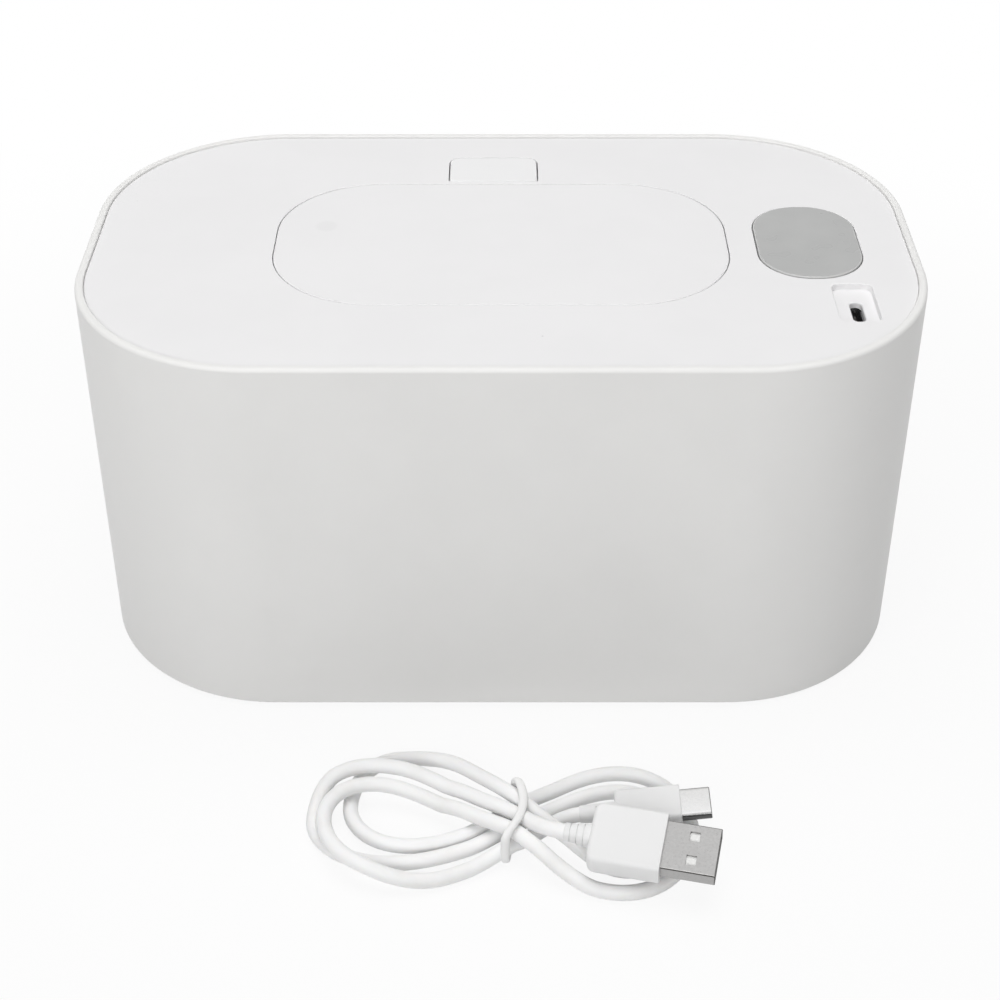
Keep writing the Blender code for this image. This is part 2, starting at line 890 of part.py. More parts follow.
def make_lid_cover(material, holder):
    """The lid's upper moulding, with every well and boss under its skin."""
    body = added(lid_shell(), *lid_wells())
    body = cut(body, *lid_cuts())
    body = added(body, button_posts())
    piece("lid_cover", body, material, LID_AXIS, holder)


def make_lid_base(material, holder):
    """The moulding that closes the lid from below, with a window for the heater."""
    lip_outer = lid_inner.grown(-seat_gap)
    lip = ring_prism(lip_outer, lip_outer.grown(-lip_wall), base_top - base_plate / 2, base_top + lip_height)
    bosses = [
        rod(plate_boss_radius, x, y, base_top - base_plate / 2, base_top + plate_boss_height)
        for x, y in plate_screw_places()
    ]
    holes = [
        rod(screw_radius + seat_gap, x, y, base_bottom - overrun, base_top + overrun)
        for x, y in boss_places()
    ]
    sinks = [
        rod(screw_head_radius + seat_gap, x, y, base_bottom - overrun, base_bottom + screw_head_height)
        for x, y in boss_places()
    ]
    pilots = [
        rod(plate_screw_radius + seat_gap, x, y, base_bottom - overrun, base_top + plate_boss_height - overrun)
        for x, y in plate_screw_places()
    ]
    body = added(prism(lid_plan, base_bottom, base_top), lip, together(bosses))
    body = cut(
        body,
        prism(heater_window, base_bottom - overrun, base_top + overrun),
        together(holes),
        together(sinks),
        together(pilots),
    )
    piece("lid_base", body, material, LID_AXIS, holder)


def make_gasket(material, holder):
    """The silicone ring between the lid and the tub's ledge."""
    outer = tub_inner.grown(-lid_gap)
    body = ring_prism(outer, outer.grown(-gasket_width), gasket_bottom, gasket_top)
    piece("lid_gasket", body, material, LID_AXIS, holder)


def make_heater(materials, holder):
    """Heater plate, film, insulation and what senses and guards its temperature."""
    holes = [
        rod(plate_screw_radius + seat_gap, x, y, plate_bottom - overrun, plate_top + overrun)
        for x, y in plate_screw_places()
    ]
    plate = cut(ring_prism(heater_plan, throat_hole, plate_bottom, plate_top), together(holes))
    piece("heater_plate", plate, materials["aluminium"], LID_AXIS, holder)

    film_hole = throat_hole.grown(film_margin / 2)
    film = ring_prism(heater_window.grown(-film_margin), film_hole, film_bottom, film_top)
    piece("heater_film", film, materials["film"], LID_AXIS, holder)

    notch = box(
        (notch_x - notch_width / 2, -notch_depth / 2, pad_bottom - overrun),
        (notch_x + notch_width / 2, notch_depth / 2, pad_top + overrun),
    )
    pad = ring_prism(heater_window.grown(-pad_margin), throat_hole, pad_bottom, pad_top)
    piece("insulation_pad", cut(pad, notch), materials["foam"], LID_AXIS, holder)

    sensor_y = -thermistor_y
    bead_z = film_top + seat_gap + thermistor_radius
    bead = side_rod(thermistor_radius, sensor_y, bead_z, notch_x - thermistor_length, notch_x, small_steps * 2)
    piece("thermistor", bead, materials["epoxy"], LID_AXIS, holder)
    fuse_z = film_top + seat_gap + fuse_radius
    fuse = side_rod(fuse_radius, thermistor_y, fuse_z, notch_x - fuse_length, notch_x, small_steps * 2)
    piece("thermal_fuse", fuse, materials["fuse"], LID_AXIS, holder)

    for number, (x, y) in enumerate(plate_screw_places(), 1):
        screw = pan_screw(
            x,
            y,
            plate_bottom - seat_gap,
            plate_screw_radius,
            plate_boss_height,
            plate_screw_head_radius,
            plate_screw_head_height,
        )
        piece(f"heater_screw_{number}", screw, materials["steel"], LID_AXIS, holder)


def make_leads(materials, holder):
    """Two heater leads from the board's connector down to the film's tabs."""
    exit_x = board_x - board_width / 2 + connector_width / 2 - seat_gap
    exit_z = board_bottom - seat_gap - connector_height / 2
    tab_z = film_top + seat_gap
    bend = (exit_z - tab_z) / 3
    for name, side in (("heater_lead_red", 1), ("heater_lead_black", -1)):
        y = side * lead_y
        path = (
            (exit_x, y, exit_z),
            (exit_x - bend / 2, y, exit_z),
            (exit_x - bend, y, exit_z - bend / 3),
            (exit_x - 1.4 * bend, y, exit_z - bend),
            (exit_x - 1.6 * bend, y, exit_z - 2 * bend),
            (exit_x - 1.6 * bend, y, tab_z),
        )
        piece(name, tube(path, lead_radius, 2 * small_steps), materials[name], LID_AXIS, holder)


def make_membrane(materials, holder):
    """The silicone membrane that holds the next wipe, and the ring that clamps it."""
    fitted = throat_inner.grown(-seat_gap)
    slit = Plan(slit_length, slit_width, slit_width / 2)
    membrane = ring_prism(fitted, slit, membrane_bottom, membrane_top)
    piece("wipe_membrane", membrane, materials["silicone"], LID_AXIS, holder)
    ring_low = membrane_top + seat_gap
    ring = ring_prism(fitted, fitted.grown(-ring_wall), ring_low, ring_low + ring_height)
    piece("membrane_ring", ring, materials["white"], LID_AXIS, holder)


def arm_outline():
    """Side view of a hinge arm: down from the pin, round under the lid's edge and up."""
    def at(radius, degrees):
        angle = math.radians(degrees)
        return (hinge_y + radius * math.cos(angle), hinge_z + radius * math.sin(angle))

    root = flap_thickness / 2 + flap_bottom - hinge_z
    outer_end = math.degrees(math.asin(root / arm_outer))
    inner_end = math.degrees(math.asin(root / arm_inner))
    neck = knuckle_radius * 0.85
    outline = [at(neck, -135)]
    outline += [at(arm_outer, angle) for angle in np.linspace(-100, outer_end, 15)]
    outline += [at(arm_inner, angle) for angle in np.linspace(inner_end, -78, 12)]
    outline.append(at(neck, -50))
    return outline


def make_flap(materials, holder):
    """The pop-up flap with its hinge arms, seal rib and catch, and the seal on it."""
    plate = loft(
        [
            flap_plan.grown(-flap_undercut).level(flap_bottom),
            flap_plan.level(lid_top - edge_round),
            flap_plan.grown(-edge_round / 4).level(lid_top - edge_round / 4),
            flap_plan.grown(-edge_round).level(lid_top),
        ]
    )
    inside = flap_bottom + flap_thickness / 2
    seal_outer = throat_inner.grown(throat_wall / 2 + flap_seal_width / 2)
    rib_outer = seal_outer.grown(-flap_seal_width - seat_gap)
    rib = ring_prism(rib_outer, rib_outer.grown(-seal_rib_wall), flap_bottom - seal_rib_height, inside)
    body = added(plate, rib)
    for side in (-1, 1):
        left = side * arm_x - arm_width / 2
        right = side * arm_x + arm_width / 2
        knuckle = side_rod(knuckle_radius, hinge_y, hinge_z, left, right)
        arm = added(side_prism(arm_outline(), left, right), knuckle)
        bore = side_rod(hinge_pin_radius + pin_gap, hinge_y, hinge_z, left - overrun, right + overrun)
        body = added(body, cut(arm, bore))
    tab_back = flap_back - catch_back
    lip_top = latch_bottom - seat_gap
    lip_bottom = lip_top - catch_lip_height
    catch = side_prism(
        (
            (tab_back - catch_thickness, inside),
            (tab_back - catch_thickness, lip_bottom),
            (tab_back + catch_lip / 3, lip_bottom),
            (tab_back + catch_lip, lip_bottom + catch_lip_height / 2),
            (tab_back + catch_lip, lip_top),
            (tab_back, lip_top),
            (tab_back, inside),
        ),
        button_x - catch_half_width,
        button_x + catch_half_width,
    )
    piece("flap", added(body, catch), materials["white"], HINGE_AXIS, holder)

    seal_top = flap_bottom - seat_gap
    seal = loft(
        [
            seal_outer.level(seal_top),
            seal_outer.level(seal_top - flap_seal_height / 2),
            seal_outer.grown(-flap_seal_width / 3).level(seal_top - flap_seal_height),
            seal_outer.grown(-2 * flap_seal_width / 3).level(seal_top - flap_seal_height),
            seal_outer.grown(-flap_seal_width).level(seal_top - flap_seal_height / 2),
            seal_outer.grown(-flap_seal_width).level(seal_top),
        ],
        True,
    )
    piece("flap_seal", seal, materials["silicone"], HINGE_AXIS, holder)


def make_hinge(materials, holder):
    """The steel hinge pin and the torsion spring that throws the flap open."""
    pin = side_rod(hinge_pin_radius, hinge_y, hinge_z, -pin_half_length, pin_half_length)
    piece("hinge_pin", pin, materials["steel"], LID_AXIS, holder)

    arm_side = -arm_x + arm_width / 2 + arm_side_gap
    lug_side = -inner_lug_x - arm_side_gap
    length = lug_side - arm_side - 2 * spring_wire_radius - 2 * seat_gap
    coil = helix(spring_coil_radius, length, spring_turns, 8)
    start = Vector(coil[0])
    end = Vector(coil[-1])
    path = [start + Vector((0, -spring_leg, 0)), start + Vector((0, -spring_leg / 2, 0))]
    path += [Vector(point) for point in coil]
    path += [end + Vector((0, spring_leg / 4, 0)), end + Vector((0, spring_leg / 2, 0))]
    along_x = Matrix.Rotation(math.pi / 2, 4, "Y")
    spring = placed(tube(path, spring_wire_radius, 6), along_x)
    spot = Vector((arm_side + spring_wire_radius + seat_gap, hinge_y, hinge_z))
    piece("flap_spring", placed(spring, Matrix.Translation(spot)), materials["steel"], LID_AXIS, holder)


def wedge_slope(height):
    """Where the wedge's 45 degree rear face is at a height: just ahead of the latch."""
    return latch_window_back - seat_gap + height - latch_top


def make_button(materials, button_holder, lid_holder):
    """The release button with its two side walls and the wedge that drives the latch."""
    cap_bottom = lid_top - button_cap
    skirt_low = lid_top - button_skirt
    cap = loft(
        [
            button_plan.level(cap_bottom),
            button_plan.level(lid_top - edge_round),
            button_plan.grown(-edge_round / 3).level(lid_top - edge_round / 3),
            button_plan.grown(-edge_round).level(lid_top),
        ]
    )
    inside = cap_bottom + button_cap / 2
    front = button_y - button_room_half + button_gap
    back = button_y + button_room_half - button_gap
    sides = []
    for side in (-1, 1):
        outer = button_x + side * button_width / 2
        inner = outer - side * button_skirt_wall
        barb = outer + side * button_barb
        left, right = sorted((inner, outer))
        wall = box((left, front, skirt_low), (right, back, inside))
        left, right = sorted((inner, barb))
        hook = box((left, front, skirt_low), (right, back, skin_bottom - seat_gap))
        sides.append(added(wall, hook))
    wedge = side_prism(
        (
            (wedge_front, lid_top - wedge_tip),
            (wedge_slope(lid_top - wedge_tip), lid_top - wedge_tip),
            (wedge_slope(inside), inside),
            (wedge_front, inside),
        ),
        button_x - wedge_half_width,
        button_x + wedge_half_width,
    )
    body = added(cap, *sides, wedge)
    piece("release_button", body, materials["white"], BUTTON_AXIS, button_holder)

    low = button_floor_top + seat_gap + button_spring_wire
    high = cap_bottom - seat_gap - button_spring_wire
    for name, side in (("button_spring_left", -1), ("button_spring_right", 1)):
        coil = helix(button_spring_radius, high - low, button_spring_turns, 8)
        spot = Vector((button_x + side * button_spring_x, button_y, low))
        spring = placed(tube(coil, button_spring_wire, 6), Matrix.Translation(spot))
        piece(name, spring, materials["steel"], LID_AXIS, lid_holder)


def make_latch(materials, holder):
    """The sliding latch under the button and the spring on its stud."""
    front = latch_plate_front
    back = latch_plate_back
    left, right = button_x - latch_half_width, button_x + latch_half_width
    plate = box((left, front, latch_bottom), (right, back, latch_top))
    nose = box(
        (button_x - latch_nose_half_width, opening_front - latch_reach, latch_bottom),
        (button_x + latch_nose_half_width, front + latch_front, latch_top),
    )
    window = box(
        (button_x - latch_window_half_width, latch_window_start, latch_bottom - overrun),
        (button_x + latch_window_half_width, latch_window_back, latch_top + overrun),
    )
    middle = (latch_top + latch_bottom) / 2
    along_y = Matrix.Rotation(-math.pi / 2, 4, "X")
    stud = placed(
        rod(latch_stud_radius, 0, 0, -latch_front, latch_stud_length, 2 * small_steps),
        Matrix.Translation((button_x, back, middle)) @ along_y,
    )
    body = added(cut(added(plate, nose), window), stud)
    piece("latch_slider", body, materials["grey"], LATCH_AXIS, holder)

    start = back + seat_gap + latch_spring_wire
    end = button_back + button_gap - seat_gap - button_travel - latch_spring_wire
    coil = helix(latch_spring_radius, end - start, button_spring_turns, 8)
    move = Matrix.Translation((button_x, start, middle)) @ along_y
    spring = placed(tube(coil, latch_spring_wire, 6), move)
    piece("latch_spring", spring, materials["steel"], LATCH_AXIS, holder)


def make_display(materials, holder):
    """The grey window, the diffuser behind it and the numeral module on the board."""
    top = lid_top + display_proud
    lens = loft(
        [
            display_plan.level(display_bottom),
            display_plan.level(top - edge_round),
            display_plan.grown(-edge_round / 3).level(top - edge_round / 3),
            display_plan.grown(-edge_round).level(top),
        ]
    )
    piece("display_window", lens, materials["window"], LID_AXIS, holder)
    diffuser_top = skin_bottom - seat_gap
    diffuser_plan = display_plan.grown(-diffuser_margin)
    diffuser = prism(diffuser_plan, diffuser_top - diffuser_thickness, diffuser_top)
    piece("display_diffuser", diffuser, materials["diffuser"], LID_AXIS, holder)
    module_top = diffuser_top - diffuser_thickness - seat_gap
    module_low = board_top + seat_gap
    half_x, half_y = module_width / 2, module_depth / 2
    body = box(
        (window_x - half_x, window_y - half_y, module_low),
        (window_x + half_x, window_y + half_y, module_top),
    )
    grooves = []
    for digit in (-1, 1):
        centre = window_y + digit * module_depth * digit_step_share
        for row in (-1, 0, 1):
            x = window_x + row * (segment_length + segment_width) / 1.5
            grooves.append((x, centre, segment_width, segment_length))
        for row in (-1, 1):
            for end in (-1, 1):
                x = window_x + row * (segment_length + segment_width) / 3
                y = centre + end * (segment_length + segment_width) / 1.8
                grooves.append((x, y, segment_length / 1.8, segment_width / 1.5))
    depth = module_top - segment_width / 4
    tools = [
        box((x - w / 2, y - d / 2, depth), (x + w / 2, y + d / 2, module_top + overrun))
        for x, y, w, d in grooves
    ]
    piece("display_module", cut(body, together(tools)), materials["module"], LID_AXIS, holder)


def make_socket(materials, holder):
    """The power socket behind the slot in the recess, with its tongue."""
    outer = Plan(socket_width, socket_length, socket_width / 2, socket_x, socket_y, steps=small_steps)
    inner = outer.grown(-socket_wall)
    floor = board_top + seat_gap
    closed = floor + socket_width / 2
    shell = loft([inner.level(closed), inner.level(socket_top), outer.level(socket_top), outer.level(floor)])
    piece("socket_shell", shell, materials["steel"], LID_AXIS, holder)
    half_x, half_y = tongue_width / 2, tongue_length / 2
    tongue = box(
        (socket_x - half_x, socket_y - half_y, closed + seat_gap),
        (socket_x + half_x, socket_y + half_y, socket_top - tongue_drop),
    )
    piece("socket_tongue", tongue, materials["black"], LID_AXIS, holder)


def make_board(materials, holder):
    """The control board under the display, its parts and its screws."""
    holes = [
        rod(board_screw_radius + seat_gap, x, y, board_bottom - overrun, board_top + overrun)
        for x, y in board_screw_places()
    ]
    body = cut(prism(board_plan, board_bottom, board_top), together(holes))
    piece("control_board", body, materials["board"], LID_AXIS, holder)

    under = board_bottom - seat_gap
    half = chip_size / 2
    chip = box(
        (board_x - half, window_y - half, under - chip_height),
        (board_x + half, window_y + half, under),
    )
    piece("control_chip", chip, materials["black"], LID_AXIS, holder)

    half = inductor_size / 2
    coil_x = board_x - board_width / 2 + 1.6 * inductor_size
    coil_plan = Plan(
        inductor_size, inductor_size, inductor_size / 4, coil_x, socket_y + half, steps=small_steps
    )
    above = board_top + seat_gap
    coil = prism(coil_plan, above, above + inductor_height)
    piece("power_inductor", coil, materials["ferrite"], LID_AXIS, holder)

    left = board_x - board_width / 2 + connector_width / 2
    half = connector_length / 2
    block = box((left, -half, under - connector_height), (left + connector_width, half, under))
    piece("lead_connector", block, materials["connector"], LID_AXIS, holder)

    for number, (x, y) in enumerate(board_screw_places(), 1):
        screw = pan_screw(
            x,
            y,
            board_bottom - seat_gap,
            board_screw_radius,
            board_drop / 2,
            board_screw_head_radius,
            board_screw_head_height,
        )
        piece(f"board_screw_{number}", screw, materials["steel"], LID_AXIS, holder)


def make_lid_screws(material, holder):
    """Screws that hold the lid's two mouldings together, heads sunk in the base."""
    seat = base_bottom + screw_head_height - seat_gap
    for number, (x, y) in enumerate(boss_places(), 1):
        screw = pan_screw(
            x, y, seat, screw_radius, lid_depth / 2, screw_head_radius, screw_head_height - seat_gap
        )
        piece(f"lid_screw_{number}", screw, material, LID_AXIS, holder)


def smooth(share):
    """An even change from zero to one."""
    share = min(max(share, 0.0), 1.0)
    return share * share * (3 - 2 * share)


def lobe_path(lobe, count):
    """Centre points of one lobe of the cord, from the waist round and back to it."""
    path = []
    for step in range(count):
        turn = math.pi * step / count
        run = 0 if turn < math.pi / 2 else 1
        slot = lobe.slots[run] * waist_slot
        bulge = lobe.peaks[run] - slot / 2 - lobe.end / 2
        away = math.sin(turn) - lobe_round_share * math.sin(3 * turn)
        away *= lobe.reach / (1 + lobe_round_share)
        aside = slot * math.cos(turn) ** 2 + lobe.end * math.sin(turn) ** 2
        aside += bulge * abs(math.sin(2 * turn))
        lift = lobe.layers[run] * smooth(1 - (away - lobe.hold) / lobe.fall)
        if lobe.over is not None:
            rise, top, sag, rest = (math.radians(value) for value in lobe.over)
            if turn < sag:
                lift = max(lift, smooth((turn - rise) / (top - rise)))
            else:
                lift = max(lift, 1 - sag_share * smooth((turn - sag) / (rest - sag)))
        height = cord_floor + tie_lift * smooth(1 - away / tie_run) + cord_layer * lift
        path.append(Vector((waist_x + lobe.side * away, waist_y + aside, height)))
    return path


def lobe_way(lobe, run):
    """The way that the cord runs where a lobe leaves the waist (0) or meets it (1)."""
    pace = lobe.side * lobe.reach * (1 - 3 * lobe_round_share) / (1 + lobe_round_share)
    bulge = lobe.peaks[run] - lobe.slots[run] * waist_slot / 2 - lobe.end / 2
    sign = -1 if run else 1
    return Vector((sign * pace, sign * 2 * bulge, 0)).normalized()


def waist_place(lobe, run):
    """Where a lobe leaves the waist (0) or meets it (1)."""
    height = cord_floor + tie_lift + cord_layer * lobe.layers[run]
    return Vector((waist_x, waist_y + lobe.slots[run] * waist_slot, height))


def bent(start, start_way, end, end_way, count, arch):
    """Points on a smooth bend between two places and directions, arched up at its middle."""
    pull = (end - start).length * bend_pull_share
    handles = (start, start + start_way * pull, end - end_way * pull, end)
    path = []
    for step in range(count):
        u = step / (count - 1)
        weights = ((1 - u) ** 3, 3 * (1 - u) ** 2 * u, 3 * (1 - u) * u * u, u ** 3)
        rise = Vector((0, 0, arch * 4 * u * (1 - u)))
        path.append(sum((w * h for w, h in zip(weights, handles)), rise))
    return path


def plug_c_way():
    """The way that the small plug points."""
    return Vector((math.cos(plug_c_pitch), 0, math.sin(plug_c_pitch)))


def plug_a_way():
    """The way that the flat plug points."""
    return Vector((math.cos(plug_a_yaw), math.sin(plug_a_yaw), 0))


def cord_path(per_lobe):
    """The whole cord: small plug, waist, five lobes of the figure eight, flat plug."""
    first, last = cord_lobes[0], cord_lobes[-1]
    plug_c = Vector(plug_c_start)
    plug_a = Vector(plug_a_start)
    way_c, way_a = plug_c_way(), plug_a_way()
    inner_c = plug_c - way_c * cord_straight
    inner_a = plug_a - way_a * cord_straight
    path = [plug_c]
    path += bent(inner_c, -way_c, waist_place(first, 0), lobe_way(first, 0), 8, -small_plug_dip)[:-1]
    for lobe in cord_lobes:
        path += lobe_path(lobe, per_lobe)
    path += bent(waist_place(last, 1), lobe_way(last, 1), inner_a, way_a, 7, flat_plug_arch)
    path.append(plug_a)
    return path


def report_cord(path):
    """Prints the cord's length and the least gap between its strands."""
    places, along, run = [], [], 0.0
    for a, b in zip(path[:-1], path[1:]):
        length = (b - a).length
        count = max(1, math.ceil(length / (cord_diameter / 8)))
        for step in range(count):
            places.append(a.lerp(b, step / count))
            along.append(run + length * step / count)
        run += length
    spots = np.array([tuple(place) for place in places])
    along = np.array(along)
    least = math.inf
    for i in range(len(spots)):
        far = along > along[i] + 3.5 * cord_diameter
        if far.any():
            least = min(least, np.linalg.norm(spots[far] - spots[i], axis=1).min())
    print(f"cord length {run:.4f} m, least gap between strands {(least - cord_diameter) * 1000:.2f} mm")


def make_tie():
    """The tie round the waist, a closed loop of round section that hugs both layers."""
    around = 2 * (tie_gap + tie_radius)
    height = cord_layer + cord_diameter + around
    width = 2 * (waist_slot + tie_slack) + cord_diameter + around
    middle = cord_floor + tie_lift + cord_layer / 2
    hug = Plan(width, height, cord_diameter / 2 + tie_radius, 0, 0, steps=small_steps)
    line = [Vector((waist_x, waist_y + a, middle + b)) for a, b in hug.points()]
    rings = []
    sides = 8
    count = len(line)
    for i in range(count):
        way = (line[(i + 1) % count] - line[i - 1]).normalized()
        across = Vector((1, 0, 0))
        out = way.cross(across)
        angles = [2 * math.pi * step / sides for step in range(sides)]
        rings.append([line[i] + tie_radius * (math.cos(a) * across + math.sin(a) * out) for a in angles])
    return loft(rings, True)


def plug_frame(start, way, roll):
    """The place of a plug: its X along the plug, its Y across the broad face."""
    across = Vector((0, 0, 1)).cross(way).normalized()
    up = way.cross(across)
    turned_across = math.cos(roll) * across + math.sin(roll) * up
    turned_up = way.cross(turned_across)
    matrix = Matrix((way, turned_across, turned_up)).transposed().to_4x4()
    matrix.translation = start
    return matrix


def flat_ring(width, thickness, radius, along):
    """A ring of points across a plug."""
    section = Plan(width, thickness, radius, steps=small_steps)
    return [Vector((along, y, z)) for y, z in section.points()]


def plug_body(start, length, width, thickness, tail_width, tail_thickness):
    """A moulded grip: a short taper at the cord's end, then straight, with soft edges."""
    taper = length / 6
    stations = (
        (start, tail_width, tail_thickness),
        (start + taper / 3, width - 2 * plug_edge, thickness - plug_edge),
        (start + taper, width, thickness),
        (start + length - plug_edge / 2, width, thickness),
        (start + length, width - plug_edge, thickness - plug_edge),
    )
    return loft([flat_ring(w, t, min(w, t) / 3, along) for along, w, t in stations])


def make_relief(start, length, small, large, ribs):
    """A strain relief: a taper with soft ribs."""
    stations = [(start, small)]
    for rib in range(ribs):
        for share, scale in ((0.15, 1.0), (0.65, 1.0), (0.85, relief_groove_share)):
            place = (rib + share) / ribs
            radius = small + (large - small) * place
            stations.append((start + length * place, max(radius * scale, small)))
    stations.append((start + length, large))
    steps = 12
    angles = [2 * math.pi * step / steps for step in range(steps)]
    rings = [
        [Vector((along, radius * math.cos(a), radius * math.sin(a))) for a in angles]
        for along, radius in stations
    ]
    return loft(rings)


def plug_shell(start, length, width, thickness, radius, wall):
    """A metal shell: a sleeve with a closed back."""
    def ring(along, margin):
        return flat_ring(width - 2 * margin, thickness - 2 * margin, max(radius - margin, edge_round / 4), along)

    return loft(
        [
            ring(start + 2 * wall, wall),
            ring(start + length, wall),
            ring(start + length, 0),
            ring(start, 0),
        ]
    )


def make_small_plug(materials):
    """The plug that goes into the warmer."""
    place = plug_frame(Vector(plug_c_start), plug_c_way(), plug_c_roll)
    cord_radius = cord_diameter / 2
    relief = make_relief(seat_gap, plug_c_relief, cord_radius, plug_c_relief_radius, relief_ribs)
    body_start = 2 * seat_gap + plug_c_relief
    tail = 2 * plug_c_relief_radius
    body = plug_body(body_start, plug_c_length, plug_c_width, plug_c_thickness, tail, plug_c_thickness * 0.9)
    shell_start = body_start + plug_c_length + seat_gap
    shell = plug_shell(
        shell_start,
        plug_c_shell_length,
        plug_c_shell_width,
        plug_c_shell_thickness,
        plug_c_shell_thickness / 2,
        plug_wall,
    )
    piece("small_plug_relief", placed(relief, place), materials["cord"])
    piece("small_plug_body", placed(body, place), materials["cord"])
    piece("small_plug_shell", placed(shell, place), materials["steel"])


def make_flat_plug(materials):
    """The plug that goes into a supply, with its two holes and its contact block."""
    place = plug_frame(Vector(plug_a_start), plug_a_way(), plug_a_roll)
    cord_radius = cord_diameter / 2
    relief = make_relief(seat_gap, plug_a_relief, cord_radius, plug_a_relief_radius, relief_ribs)
    body_start = 2 * seat_gap + plug_a_relief
    tail = 2 * plug_a_relief_radius
    body = plug_body(body_start, plug_a_length, plug_a_width, plug_a_thickness, 1.6 * tail, plug_a_thickness * 0.85)
    shell_start = body_start + plug_a_length + seat_gap
    shell = plug_shell(
        shell_start,
        plug_a_shell_length,
        plug_a_shell_width,
        plug_a_shell_thickness,
        plug_wall,
        plug_wall,
    )
    holes = []
    for side in (-1, 1):
        x = shell_start + plug_a_hole_ahead
        y = side * plug_a_hole_aside
        half = plug_a_hole / 2
        middle = plug_a_shell_thickness / 2
        holes.append(box((x - half, y - half, middle - plug_wall - seat_gap), (x + half, y + half, middle + overrun)))
    shell = cut(shell, together(holes))
    block_back = shell_start + 2 * plug_wall + seat_gap
    half_y = plug_a_shell_width / 2 - plug_wall - seat_gap
    high = plug_a_shell_thickness / 2 - plug_wall - seat_gap
    block = box((block_back, -half_y, 0), (shell_start + plug_a_shell_length - plug_edge, half_y, high))
    piece("flat_plug_relief", placed(relief, place), materials["cord"])
    piece("flat_plug_body", placed(body, place), materials["cord"])
    piece("flat_plug_shell", placed(shell, place), materials["steel"])
    piece("flat_plug_block", placed(block, place), materials["white"])


def make_lead(materials):
    """The loose power lead: its figure eight, its tie and both plugs."""
    path = cord_path(lobe_points)
    report_cord(path)
    piece("cord_hank", tube(path, cord_diameter / 2, 6), materials["cord"])
    piece("cord_tie", make_tie(), materials["tie"])
    make_small_plug(materials)
    make_flat_plug(materials)


def make_materials():
    """Every finish by name."""
    return {
        "white": finish("white_plastic", (0.80, 0.80, 0.81), 0.42),
        "lid": finish("lid_plastic", (0.82, 0.82, 0.83), 0.40),
        "inner": finish("inner_plastic", (0.78, 0.78, 0.78), 0.5),
        "grey": finish("grey_plastic", (0.45, 0.45, 0.46), 0.5),
        "rubber": finish("foot_rubber", (0.55, 0.55, 0.55), 0.8),
        "silicone": finish("silicone", (0.70, 0.72, 0.73), 0.6),
        "aluminium": finish("aluminium", (0.75, 0.75, 0.76), 0.35, 1.0),
        "film": finish("heater_film", (0.65, 0.32, 0.08), 0.35),
        "foam": finish("insulation_foam", (0.80, 0.80, 0.78), 0.9),
        "epoxy": finish("epoxy_bead", (0.05, 0.08, 0.05), 0.3),
        "fuse": finish("fuse_case", (0.75, 0.72, 0.65), 0.4),
        "steel": finish("steel", (0.70, 0.70, 0.71), 0.25, 1.0),
        "window": finish("display_grey", (0.46, 0.465, 0.46), 0.30),
        "diffuser": finish("diffuser", (0.85, 0.85, 0.85), 0.6),
        "module": finish("display_module", (0.60, 0.60, 0.60), 0.5),
        "board": finish("board_green", (0.02, 0.15, 0.06), 0.45),
        "black": finish("black_plastic", (0.02, 0.02, 0.02), 0.5),
        "ferrite": finish("ferrite", (0.10, 0.10, 0.10), 0.6),
        "connector": finish("connector_ivory", (0.75, 0.72, 0.62), 0.5),
        "cord": finish("cord_white", (0.80, 0.80, 0.80), 0.5),
        "tie": finish("tie_white", (0.78, 0.78, 0.78), 0.5),
        "heater_lead_red": finish("lead_red", (0.45, 0.02, 0.02), 0.5),
        "heater_lead_black": finish("lead_black", (0.02, 0.02, 0.02), 0.5),
    }


def main():
    """Builds the whole warmer."""
    for old in list(bpy.data.objects):
        bpy.data.objects.remove(old)
    materials = make_materials()
    lid = axis_empty("lid_axis", LID_AXIS)
    hinge = axis_empty("hinge_axis", HINGE_AXIS, lid)
    button = axis_empty("button_axis", BUTTON_AXIS, lid)
    latch = axis_empty("latch_axis", LATCH_AXIS, lid)
    make_tub(materials["white"])
    make_feet(materials["rubber"])
    make_lid_cover(materials["lid"], lid)
    make_lid_base(materials["inner"], lid)
    make_gasket(materials["silicone"], lid)
    make_heater(materials, lid)
    make_leads(materials, lid)
    make_membrane(materials, lid)
    make_flap(materials, hinge)
    make_hinge(materials, lid)
    make_button(materials, button, lid)
    make_latch(materials, latch)
    make_display(materials, lid)
    make_socket(materials, lid)
    make_board(materials, lid)
    make_lid_screws(materials["steel"], lid)
    make_lead(materials)


main()
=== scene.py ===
"""Wipe warmer with a flush pop-up flap and its tied power lead: the finished look."""

import math
from collections import namedtuple

import bmesh
import bpy
from mathutils import Matrix, Vector


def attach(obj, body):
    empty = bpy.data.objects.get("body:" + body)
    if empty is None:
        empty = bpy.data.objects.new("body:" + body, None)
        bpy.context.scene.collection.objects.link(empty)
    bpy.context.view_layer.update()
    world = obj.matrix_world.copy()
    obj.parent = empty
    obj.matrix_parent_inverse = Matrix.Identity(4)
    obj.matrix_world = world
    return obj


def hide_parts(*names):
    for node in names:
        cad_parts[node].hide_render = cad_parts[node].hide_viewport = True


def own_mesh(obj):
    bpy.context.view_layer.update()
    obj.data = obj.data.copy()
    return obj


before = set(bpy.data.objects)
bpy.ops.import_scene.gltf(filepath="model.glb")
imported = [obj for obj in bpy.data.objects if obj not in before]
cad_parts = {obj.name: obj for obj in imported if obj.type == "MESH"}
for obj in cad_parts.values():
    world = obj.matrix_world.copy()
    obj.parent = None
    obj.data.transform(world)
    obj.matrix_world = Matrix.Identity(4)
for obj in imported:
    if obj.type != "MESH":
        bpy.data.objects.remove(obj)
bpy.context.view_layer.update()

# -------- sizes, in metres: as in the solids, but for rim_wall and the seams, which are narrower as in the photograph
seat_gap = 0.0003  # between pieces that sit on each other
